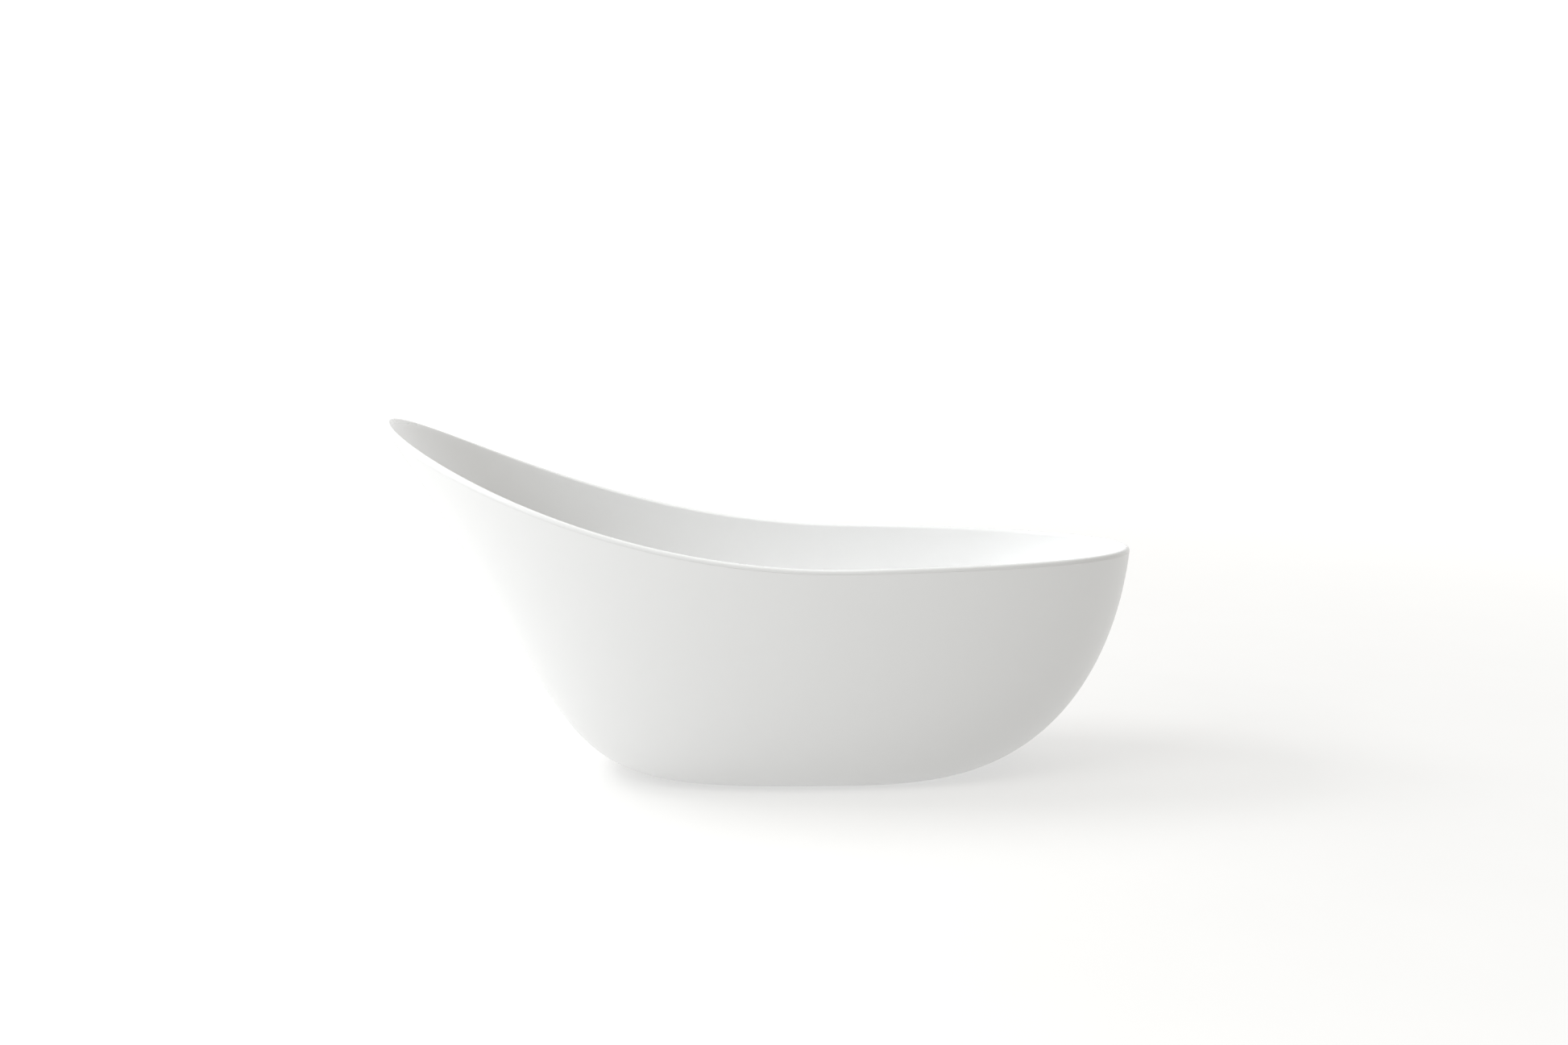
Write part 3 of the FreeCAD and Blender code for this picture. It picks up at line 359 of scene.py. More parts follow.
@dataclass(frozen=True)
class GlassMat(Finish):
    """Chopped glass strands set in cloudy resin, rolled on by hand."""

    def dress(self, shader: Shader) -> None:
        """Build the nodes.

        Args:
            shader: The material to fill.
        """
        across = shader.noise(260.0, 3.0, (1.0, 0.16, 0.5))
        along = shader.noise(260.0, 3.0, (0.16, 1.0, 0.5))
        upright = shader.noise(240.0, 3.0, (0.6, 0.6, 0.12))
        strands = (across - 0.5) * (along - 0.5) * 4.0 + upright * 0.6
        weave = shader.spread(strands, 0.1, 0.6)
        cloud = shader.noise(14.0, 4.0)
        resin = shader.mix(cloud, self.shaded(-0.16), self.shaded(0.05))
        base = shader.mix(weave * 0.55, resin, (0.84, 0.84, 0.78))
        shader.bump(weave, self.grain_depth)
        shader.set(Base_Color=base, Roughness=self.roughness - weave * 0.15)


@dataclass(frozen=True)
class Plywood(Finish):
    """Birch ply: grain along X on its faces, and light and dark plies up its edges."""

    ply: float = 0.0015

    def dress(self, shader: Shader) -> None:
        """Build the nodes.

        Args:
            shader: The material to fill.
        """
        _, _, z = shader.axes()
        turn = z * (math.pi / self.ply)
        plies = shader.spread(turn.maths("SINE"), -0.3, 0.3)
        rings = shader.noise(60.0, 5.0, (0.06, 1.0, 1.0))
        figure = shader.noise(240.0, 3.0, (0.03, 1.0, 1.0))
        grain = shader.mix(rings, self.shaded(-0.22), self.shaded(0.12))
        grain = shader.mix(figure * 0.35, grain, self.shaded(-0.45))
        facing = shader.node("ShaderNodeSeparateXYZ", {}, {
            0: shader.node("ShaderNodeNewGeometry", output="Normal")
        }, "Z")
        edge = 1.0 - facing.maths("ABSOLUTE").clamped()
        layered = shader.mix(plies, self.shaded(-0.38), self.shaded(0.10))
        base = shader.mix(edge, grain, layered)
        shader.bump(figure, self.grain_depth)
        shader.set(Base_Color=base, Roughness=self.roughness + rings * 0.12)


@dataclass(frozen=True)
class Galvanised(Finish):
    """Zinc-coated steel with a faint spangle."""

    def dress(self, shader: Shader) -> None:
        """Build the nodes.

        Args:
            shader: The material to fill.
        """
        spangle = shader.cells(140.0, "F1", "Color")
        bright = shader.node("ShaderNodeSeparateColor", {}, {0: spangle})
        dull = shader.noise(18.0, 5.0)
        base = shader.mix(bright, self.shaded(-0.18), self.shaded(0.10))
        base = shader.mix(shader.spread(dull, 0.5, 0.75) * 0.5, base, (0.42, 0.43, 0.43))
        worn = shader.edges() * self.wear
        base = shader.mix(worn, base, self.wear_colour)
        shader.bump(shader.noise(self.grain_scale, 3.0), self.grain_depth)
        rough = self.roughness + (bright - 0.5) * 0.14 + dull * 0.1 - worn * 0.1
        shader.set(Base_Color=base, Roughness=rough, Metallic=self.metallic)


class Finishes(Enum):
    """Every finish of the tub."""

    ACRYLIC = SanitaryAcrylic("sanitary_acrylic", (0.80, 0.802, 0.80), 0.40, mottle=0.006,
                              gloss_change=0.07, grain_scale=700.0, grain_depth=0.00006, coat=0.12)
    GLASS_MAT = GlassMat("glass_mat_resin", (0.66, 0.62, 0.46), 0.42, grain_depth=0.0005)
    PLYWOOD = Plywood("birch_plywood", (0.60, 0.42, 0.25), 0.50, grain_depth=0.00012)
    GALVANISED = Galvanised("galvanised_tube", (0.62, 0.64, 0.66), 0.36, metallic=0.9,
                            grain_depth=0.00004, wear=0.6, wear_colour=(0.78, 0.79, 0.80))
    ZINC = Finish("bright_zinc", (0.70, 0.71, 0.68), 0.26, metallic=1.0, mottle=0.08, mottle_scale=70.0,
                  gloss_change=0.08, wear=0.6, wear_colour=(0.86, 0.86, 0.86))
    NYLON = Finish("black_nylon", (0.028, 0.028, 0.030), 0.46, mottle=0.20, mottle_scale=60.0,
                   grain_scale=1600.0, grain_depth=0.00005, wear=0.4, wear_colour=(0.11, 0.11, 0.11))
    FOOT_RUBBER = Finish("foot_rubber", (0.022, 0.021, 0.020), 0.72, mottle=0.25, mottle_scale=90.0,
                         gloss_change=0.10, grain_scale=1200.0, grain_depth=0.00008, wear=0.5,
                         wear_colour=(0.10, 0.10, 0.095))
    SEAL_RUBBER = Finish("seal_rubber", (0.045, 0.045, 0.046), 0.55, mottle=0.15, mottle_scale=120.0,
                         grain_scale=1500.0, grain_depth=0.00003, wear=0.3,
                         wear_colour=(0.12, 0.12, 0.12))
    CHROME = Finish("polished_chrome", (0.80, 0.81, 0.82), 0.07, metallic=1.0, mottle=0.02,
                    mottle_scale=40.0, gloss_change=0.035, grain_scale=60.0, grain_depth=0.00001,
                    wear=0.3, wear_colour=(0.88, 0.88, 0.88))
    BRASS = Finish("machined_brass", (0.66, 0.50, 0.24), 0.24, metallic=1.0, mottle=0.10,
                   mottle_scale=80.0, gloss_change=0.08, grain_scale=500.0, grain_depth=0.00003,
                   stretch=(1.0, 1.0, 6.0), wear=0.5, wear_colour=(0.84, 0.70, 0.42))
    MOULDED_WHITE = Finish("moulded_polypropylene", (0.74, 0.74, 0.72), 0.42, mottle=0.03,
                           mottle_scale=50.0, grain_scale=1400.0, grain_depth=0.00004, wear=0.25,
                           wear_colour=(0.84, 0.84, 0.82))
    HOSE = Finish("hose_grey", (0.46, 0.47, 0.47), 0.44, mottle=0.05, mottle_scale=35.0,
                  grain_scale=800.0, grain_depth=0.00004)
    SPRING_STEEL = Finish("spring_wire", (0.52, 0.52, 0.54), 0.22, metallic=1.0, mottle=0.06,
                          mottle_scale=300.0, gloss_change=0.06)
    ADHESIVE = Finish("bonding_bead", (0.70, 0.69, 0.62), 0.38, mottle=0.07, mottle_scale=60.0,
                      grain_scale=160.0, grain_depth=0.0004)

    def material(self) -> bpy.types.Material:
        """The finish's material."""
        return self.value.material()


# ---- Modelling -------------------------------------------------------------------------------------


class Bench:
    """Modelling moves shared by every piece."""

    @staticmethod
    def clear() -> None:
        """Deselect everything."""
        if bpy.context.object and bpy.context.object.mode != "OBJECT":
            bpy.ops.object.mode_set(mode="OBJECT")
        bpy.ops.object.select_all(action="DESELECT")

    @staticmethod
    def only(thing: bpy.types.Object) -> None:
        """Select one object and make it active.

        Args:
            thing: The object.
        """
        Bench.clear()
        thing.select_set(True)
        bpy.context.view_layer.objects.active = thing

    @staticmethod
    def named(name: str) -> bpy.types.Object:
        """Name the active object and its mesh.

        Args:
            name: The name of both.

        Returns:
            The object.
        """
        thing = bpy.context.object
        thing.name = name
        thing.data.name = name
        return thing

    @staticmethod
    def pick(thing: bpy.types.Object, kind: str, test: Callable[[object], bool]) -> None:
        """Select vertices, edges or faces by a test, and open edit mode.

        Args:
            thing: The object.
            kind: "VERT", "EDGE" or "FACE".
            test: Called with each element; true selects it.
        """
        Bench.only(thing)
        bpy.ops.object.mode_set(mode="EDIT")
        bpy.ops.mesh.select_mode(type=kind)
        bpy.ops.mesh.select_all(action="DESELECT")
        bpy.ops.object.mode_set(mode="OBJECT")
        mesh = thing.data
        elements = {"VERT": mesh.vertices, "EDGE": mesh.edges, "FACE": mesh.polygons}[kind]
        for element in elements:
            if test(element):
                element.select = True
        bpy.ops.object.mode_set(mode="EDIT")

    @staticmethod
    def done() -> None:
        """Leave edit mode."""
        bpy.ops.object.mode_set(mode="OBJECT")

    @staticmethod
    def discard(*things: bpy.types.Object) -> None:
        """Throw objects away."""
        for thing in things:
            bpy.data.objects.remove(thing, do_unlink=True)

    @staticmethod
    def settle(thing: bpy.types.Object) -> bpy.types.Object:
        """Put an object's place into its mesh.

        Args:
            thing: The object.

        Returns:
            The object, at the origin.
        """
        Bench.only(thing)
        bpy.ops.object.transform_apply(location=True, rotation=True, scale=True)
        return thing

    @staticmethod
    def apply(thing: bpy.types.Object, kind: str, **settings: object) -> bpy.types.Object:
        """Add a modifier and apply it.

        Args:
            thing: The object.
            kind: The modifier's type.
            settings: Its properties.

        Returns:
            The object.
        """
        Bench.only(thing)
        modifier = thing.modifiers.new(kind.lower(), kind)
        for name, value in settings.items():
            setattr(modifier, name, value)
        bpy.ops.object.modifier_apply(modifier=modifier.name)
        return thing

    @staticmethod
    def tidy(thing: bpy.types.Object, near: float = 1e-6) -> bpy.types.Object:
        """Merge doubles and turn all faces outwards.

        Args:
            thing: The object.
            near: How close two vertices are when they merge.

        Returns:
            The object.
        """
        Bench.only(thing)
        bpy.ops.object.mode_set(mode="EDIT")
        bpy.ops.mesh.select_all(action="SELECT")
        bpy.ops.mesh.remove_doubles(threshold=near)
        bpy.ops.mesh.normals_make_consistent(inside=False)
        Bench.done()
        return thing

    @staticmethod
    def ease(
        thing: bpy.types.Object, width: float, segments: int = 2, angle: float = 35.0
    ) -> bpy.types.Object:
        """Round every sharp edge a little."""
        return Bench.apply(thing, "BEVEL", width=width, segments=segments, limit_method="ANGLE",
                           angle_limit=math.radians(angle), harden_normals=False)

    @staticmethod
    def smooth(thing: bpy.types.Object, angle: float = 32.0) -> bpy.types.Object:
        """Shade smooth except across sharp edges.

        Args:
            thing: The object.
            angle: Edges sharper than this many degrees stay crisp.

        Returns:
            The object.
        """
        Bench.only(thing)
        bpy.ops.object.shade_smooth_by_angle(angle=math.radians(angle))
        return thing

    @staticmethod
    def block(name: str, size: Point, at: Point) -> bpy.types.Object:
        """Start a piece from a box.

        Args:
            name: The object's name.
            size: Its length on each axis.
            at: Its centre.

        Returns:
            The box, ready to be shaped.
        """
        Bench.clear()
        bpy.ops.mesh.primitive_cube_add(size=1.0, location=at, scale=size)
        return Bench.settle(Bench.named(name))

    @staticmethod
    def bar(name: str, radius: float, depth: float, at: Point, sides: int = 48) -> bpy.types.Object:
        """Start a piece from an upright prism.

        Args:
            name: The object's name.
            radius: Radius to its corners.
            depth: Its height.
            at: Its centre.
            sides: How many sides it has.

        Returns:
            The prism, ready to be shaped.
        """
        Bench.clear()
        bpy.ops.mesh.primitive_cylinder_add(vertices=sides, radius=radius, depth=depth, location=at)
        return Bench.settle(Bench.named(name))

    @staticmethod
    def drawn(name: str, corners: Profile) -> bpy.types.Object:
        """Draw a chain of edges in the XZ plane: a plane merged to a point, then extruded.

        Args:
            name: The object's name.
            corners: Radius and height of each corner.

        Returns:
            The object, in edit mode with the whole chain selected.
        """
        Bench.clear()
        bpy.ops.mesh.primitive_plane_add(size=MM, location=(0.0, 0.0, 0.0))
        thing = Bench.named(name)
        bpy.ops.object.mode_set(mode="EDIT")
        bpy.ops.mesh.select_mode(type="VERT")
        bpy.ops.mesh.select_all(action="SELECT")
        bpy.ops.mesh.merge(type="CENTER")
        radius, height = corners[0]
        bpy.ops.transform.translate(value=(radius, 0.0, height))
        for next_radius, next_height in corners[1:]:
            step = (next_radius - radius, 0.0, next_height - height)
            bpy.ops.mesh.extrude_region_move(TRANSFORM_OT_translate={"value": step})
            radius, height = next_radius, next_height
        bpy.ops.mesh.select_all(action="SELECT")
        bpy.ops.mesh.remove_doubles(threshold=1e-7)
        bpy.ops.mesh.select_all(action="SELECT")
        return thing

    @staticmethod
    def turned(name: str, profile: Profile, steps: int = 64) -> bpy.types.Object:
        """Spin an outline about the Z axis; it closes on itself unless both its ends are on the axis.

        Args:
            name: The piece's name.
            profile: Radius and height of each corner, in order round the section.
            steps: Faces round the turn.

        Returns:
            The turned object.
        """
        on_axis = profile[0][0] == 0.0 and profile[-1][0] == 0.0
        thing = Bench.drawn(name, [*profile, *([] if on_axis else profile[:1])])
        bpy.ops.mesh.spin(steps=steps, angle=2.0 * math.pi, center=ORIGIN, axis=(0.0, 0.0, 1.0))
        Bench.done()
        return Bench.tidy(thing)

    @staticmethod
    def hexagon(name: str, corner: float, low: float, high: float, bore: float) -> bpy.types.Object:
        """A nut on the Z axis with chamfered corners.

        Args:
            name: The piece's name.
            corner: Radius to its corners.
            low: Its lower face.
            high: Its upper face.
            bore: Radius of its hole.

        Returns:
            The nut.
        """
        nut = Bench.bar(name, corner, high - low, (0.0, 0.0, (low + high) / 2.0), 6)
        flat = corner * math.cos(math.pi / 6.0)
        drop = (corner - flat) * 0.6
        cone = Bench.turned("cone_tool", [
            (0.0, low), (flat * 0.985, low), (corner, low + drop), (corner, high - drop),
            (flat * 0.985, high), (0.0, high),
        ])
        Bench.cut(nut, cone, "INTERSECT")
        hole = Bench.turned("bore_tool", [
            (0.0, low - 0.001), (bore + 0.0016, low - 0.001), (bore, low + 0.0006),
            (bore, high - 0.0006), (bore + 0.0016, high + 0.001), (0.0, high + 0.001),
        ])
        Bench.cut(nut, hole)
        return Bench.ease(nut, 0.00015, 1, 28.0)

    @staticmethod
    def thread(
        name: str, crest: float, root: float, low: float, high: float, pitch: float
    ) -> bpy.types.Object:
        """A helical ridge round the Z axis.

        Args:
            name: The piece's name.
            crest: Radius of its crest.
            root: Radius of its root.
            low: Where it starts.
            high: Where it ends.
            pitch: Its rise each turn.

        Returns:
            The ridge, with closed ends.
        """
        inside = root - 0.0004
        flank = [
            (inside, 0.0), (root, 0.0), (crest, 0.42), (crest, 0.54), (root, 0.95), (inside, 0.95),
            (inside, 0.0),
        ]
        ridge = Bench.drawn(name, [(radius, low + pitch * share) for radius, share in flank])
        Bench.done()
        return Bench.wound(ridge, pitch, int((high - low) / pitch - 1.0))

    @staticmethod
    def wound(thing: bpy.types.Object, pitch: float, turns: int) -> bpy.types.Object:
        """Wind a closed outline about the Z axis and close its ends.

        Args:
            thing: The outline.
            pitch: Its rise each turn.
            turns: How many turns it makes.

        Returns:
            The wound object.
        """
        Bench.apply(thing, "SCREW", axis="Z", angle=2.0 * math.pi, screw_offset=pitch,
                    iterations=turns, steps=24, render_steps=24, use_merge_vertices=False)
        bpy.ops.object.mode_set(mode="EDIT")
        bpy.ops.mesh.select_all(action="SELECT")
        bpy.ops.mesh.fill_holes(sides=16)
        Bench.done()
        return Bench.tidy(thing, 1e-7)

    @staticmethod
    def around(thing: bpy.types.Object, count: int) -> list[bpy.types.Object]:
        """Copy an object evenly about the Z axis.

        Args:
            thing: The object.
            count: How many there are in the end.

        Returns:
            The object itself and its copies.
        """
        ring = [thing]
        for k in range(1, count):
            turn = Matrix.Rotation(2.0 * math.pi * k / count, 4, "Z")
            ring.append(Bench.turn_to(Bench.copy(thing, f"{thing.name}_{k}"), turn))
        return ring

    @staticmethod
    def copy(thing: bpy.types.Object, name: str, by: Point = ORIGIN) -> bpy.types.Object:
        """Copy an object with its mesh.

        Args:
            thing: The object.
            name: The copy's name.
            by: How far the copy is moved.

        Returns:
            The copy.
        """
        twin = thing.copy()
        twin.data = thing.data.copy()
        twin.name = name
        bpy.context.collection.objects.link(twin)
        twin.location = by
        return Bench.settle(twin)

    @staticmethod
    def join(name: str, things: Sequence[bpy.types.Object]) -> bpy.types.Object:
        """Join objects into one.

        Args:
            name: Its name.
            things: The objects.

        Returns:
            The one that is left.
        """
        Bench.clear()
        for thing in things:
            thing.select_set(True)
        bpy.context.view_layer.objects.active = things[0]
        if len(things) > 1:
            bpy.ops.object.join()
        return Bench.named(name)

    @staticmethod
    def cut(
        thing: bpy.types.Object, tool: bpy.types.Object, operation: str = "DIFFERENCE"
    ) -> bpy.types.Object:
        """Cut an object with a tool, and throw the tool away.

        Args:
            thing: The object.
            tool: The tool.
            operation: "DIFFERENCE" takes the tool away, "INTERSECT" keeps what is inside it.

        Returns:
            The object.
        """
        Bench.apply(thing, "BOOLEAN", operation=operation, solver="EXACT", object=tool)
        Bench.discard(tool)
        return thing

    @staticmethod
    def cross_recess(
        screw: bpy.types.Object, long: float, wide: float, deep: float, level: float
    ) -> None:
        """Cut a cross into a screw's head.

        Args:
            screw: The screw.
            long: Length of each slot.
            wide: Width of each slot.
            deep: Depth of the slots, half of it above the level.
            level: Height of the head's face.
        """
        for size in ((long, wide, deep), (wide, long, deep)):
            Bench.cut(screw, Bench.block("cross_tool", size, (0.0, 0.0, level)))

    @staticmethod
    def turn_to(thing: bpy.types.Object, matrix: Matrix) -> bpy.types.Object:
        """Move a finished object by a matrix and settle it."""
        thing.matrix_world = matrix
        return Bench.settle(thing)

    @staticmethod
    def finish(
        thing: bpy.types.Object,
        finish: Finishes,
        slot: str,
        body: str,
        nodes: Sequence[str] = (),
    ) -> None:
        """Give a piece its finish and hand it to the frame.

        Args:
            thing: The piece.
            finish: Its finish, if it has none yet.
            slot: The record's slot; not used.
            body: The body that carries it.
            nodes: The CAD nodes that it stands for.
        """
        if not thing.data.materials:
            thing.data.materials.append(finish.material())
        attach(thing, body)
        if nodes:
            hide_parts(*nodes)
        LOG.info("%s: %d faces", thing.name, len(thing.data.polygons))


def centre_of(node: str) -> Vector:
    """Middle of a CAD node's box."""
    low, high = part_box(node)
    return (Vector(low) + Vector(high)) / 2.0


def foot_of(node: str) -> float:
    """Lowest height of a CAD node."""
    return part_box(node)[0][2]


def head_of(node: str) -> float:
    """Highest level of a CAD node."""
    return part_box(node)[1][2]


def quarter_turn(axis: str, at: Point, way: float = 1.0) -> Matrix:
    """A quarter turn about an axis, then a move from the origin to a point."""
    return Matrix.Translation(at) @ Matrix.Rotation(way * math.pi / 2.0, 4, axis)


# ---- The two skins ---------------------------------------------------------------------------------


@dataclass(frozen=True)
class ByEnd:
    """A value that changes smoothly from the head round the side to the foot."""

    head: float
    side: float
    foot: float

    def at(self, along: float) -> float:
        """The value at along = -1 (head) to 1 (foot)."""
        even = (self.foot + self.head) / 2.0 - self.side
        return self.side + (self.foot - self.head) / 2.0 * along + even * along * along


@dataclass(frozen=True)
class Outline:
    """A level outline: an ellipse made squarer by its fullness."""

    centre: float
    half_length: float
    half_width: float
    fullness: float

    def point(self, angle: float) -> Vector:
        """Find a point of the outline.

        Args:
            angle: 0 at the foot end, pi at the head.

        Returns:
            The point, at height 0.
        """
        along = math.cos(angle)
        width = self.half_width * (1.0 + self.fullness * along * along)
        return Vector((self.centre + self.half_length * along, width * math.sin(angle), 0.0))


@dataclass
class TubForm:
    """The tub's driving shape: a rim, a base, a floor, and cubic ribs between them."""

    stations: int = 320
    crowding: float = 0.6
    half_length: float = 0.900
    half_width: float = 0.400
    rim_low: float = 0.540
    rim_head: float = 0.850
    level_from: float = 0.220
    rim_shift: float = 0.050
    fullness: ByEnd = ByEnd(0.256, 0.0, -0.025)
    lip: float = 0.018
    base: Outline = Outline(0.123, 0.317, 0.225, 0.49)
    lean: ByEnd = ByEnd(-1.0 / math.tan(math.radians(55.2)), 0.0, 1.0 / math.tan(math.radians(84.6)))
    side_lean: float = 1.0 / math.tan(math.radians(83.8))
    skirt_low: ByEnd = ByEnd(0.47, 0.73, 0.64)
    skirt_high: ByEnd = ByEnd(0.72, 0.60, 0.49)
    wall: float = 0.005
    lift: float = 0.003
    floor: Outline = Outline(0.060, 0.470, 0.215, 0.35)
    floor_height: float = 0.130
    fall: float = 0.012
    basin_low: ByEnd = ByEnd(0.235, 0.50, 0.38)
    basin_high: ByEnd = ByEnd(0.70, 0.40, 0.20)

    def __post_init__(self) -> None:
        """Work out the waste's place and the lip's frame at every station."""
        self.waste_x = centre_of("waste_flange").x
        self.angles = [self.crowded(2.0 * math.pi * i / self.stations) for i in range(self.stations)]
        crown = [self.crown_point(angle) for angle in self.angles]
        self.leans = [
            Vector((self.lean.at(math.cos(a)), self.side_lean * math.sin(a), 1.0)) for a in self.angles
        ]
        self.normals: Row = []
        self.rises: Row = []
        self.edge: Row = []
        radius = self.lip / 2.0
        for i, point in enumerate(crown):
            along = self.rim_direction(self.angles[i])
            normal = along.cross(self.leans[i]).normalized()
            self.normals.append(normal)
            self.rises.append(normal.cross(along).normalized())
            self.edge.append(point + Vector((0.0, 0.0, -radius + radius * normal.z)))
        self.inner = [edge - normal * self.lip for edge, normal in zip(self.edge, self.normals)]

    def crowded(self, turn: float) -> float:
        """Move a station towards the two ends, where the outline bends most."""
        return turn - self.crowding / 2.0 * math.sin(2.0 * turn)

    def crown_point(self, angle: float) -> Vector:
        """Find the crown of the lip.

        Args:
            angle: 0 at the foot end, pi at the head.

        Returns:
            The point.
        """
        along = math.cos(angle)
        x = self.half_length * along + self.rim_shift * (1.0 - along * along)
        y = self.half_width * math.sin(angle) * (1.0 + self.fullness.at(along))
        climb = max(0.0, (self.level_from - x) / (self.level_from + self.half_length))
        return Vector((x, y, self.rim_low + (self.rim_head - self.rim_low) * climb * climb))

    def rim_direction(self, angle: float) -> Vector:
        """Direction along the rim at an angle."""
        step = 0.001
        return self.crown_point(angle + step) - self.crown_point(angle - step)

    def floor_level(self, x: float) -> float:
        """Height of the sloping floor."""
        return self.floor_height + self.fall * (self.waste_x - x)

    def skirt_rib(self, i: int) -> list[Vector]:
        """Lay out a rib of the skirt's outer face.

        Args:
            i: The station.

        Returns:
            Its four poles, from the bottom edge up.
        """
        angle = self.angles[i]
        along = math.cos(angle)
        edge = self.edge[i]
        base = self.base.point(angle)
        base.z = self.lift
        overhang = Vector((edge.x - base.x, edge.y - base.y, 0.0))
        low = base + overhang * self.skirt_low.at(along)
        high = edge - self.leans[i] * (edge.z * self.skirt_high.at(along))
        return [base, low, high, edge]

    def basin_rib(self, i: int) -> list[Vector]:
        """Lay out a rib of the basin's inner face.

        Args:
            i: The station.

        Returns:
            Its four poles, from the flat floor up.
        """
        angle = self.angles[i]
        along = math.cos(angle)
        inner = self.inner[i]
        floor = self.floor.point(angle)
        floor.z = self.floor_level(floor.x)
        reach = Vector((inner.x - floor.x, inner.y - floor.y, 0.0)) * self.basin_low.at(along)
        reach.z = -self.fall * reach.x
        depth = inner.z - floor.z
        high = inner - self.leans[i] * (depth * self.basin_high.at(along))
        return [floor, floor + reach, high, inner]

    @staticmethod
    def on_rib(poles: Sequence[Vector], share: float) -> Vector:
        """Find a point of a cubic rib.

        Args:
            poles: The rib's four poles.
            share: 0 at its foot, 1 at its top.

        Returns:
            The point.
        """
        rest = 1.0 - share
        low = poles[0] * rest ** 3 + poles[1] * (3.0 * rest * rest * share)
        return low + poles[2] * (3.0 * rest * share * share) + poles[3] * share ** 3

    def rows(self, rib: Callable[[int], list[Vector]], count: int) -> list[Row]:
        """Rows of points up a face, from its foot to its top."""
        ribs = [rib(i) for i in range(self.stations)]
        return [[self.on_rib(poles, k / count) for poles in ribs] for k in range(count + 1)]

    def behind(self, rows: list[Row], wall: float) -> list[Row]:
        """Find the back of a face, every point moved along its own normal.

        Args:
            rows: The face's rows.
            wall: How far in the points move; below 0 they move out.

        Returns:
            The back's rows, in the same order.
        """
        moved = []
        last = len(rows) - 1
        for k, row in enumerate(rows):
            below = rows[max(0, k - 1)]
            above = rows[min(last, k + 1)]
            back = []
            for i, point in enumerate(row):
                along = row[(i + 1) % self.stations] - row[i - 1]
                back.append(point - along.cross(above[i] - below[i]).normalized() * wall)
            moved.append(back)
        return moved

    def overflow_matrix(self, height: float) -> Matrix:
        """Find the overflow's place in the middle of the foot end's wall.

        Args:
            height: Its height on the wall.

        Returns:
            A frame there: Z into the bath, X up the wall.
        """
        poles = self.basin_rib(0)
        low, high = 0.0, 1.0
        for _ in range(50):
            share = (low + high) / 2.0
            if self.on_rib(poles, share).z < height:
                low = share
            else:
                high = share
        point = self.on_rib(poles, share)
        up = (self.on_rib(poles, share + 0.001) - self.on_rib(poles, share - 0.001)).normalized()
        inward = Vector((-up.z, 0.0, up.x))
        across = inward.cross(up)
        return Matrix.Translation(point) @ Matrix((up, across, inward)).transposed().to_4x4()

    def ring(self, centre: Vector, radius: float) -> Row:
        """A level circle with one point for each station."""
        return [centre + Vector((radius * math.cos(a), radius * math.sin(a), 0.0)) for a in self.angles]


SKIN_FINISHES = (Finishes.ACRYLIC, Finishes.GLASS_MAT)


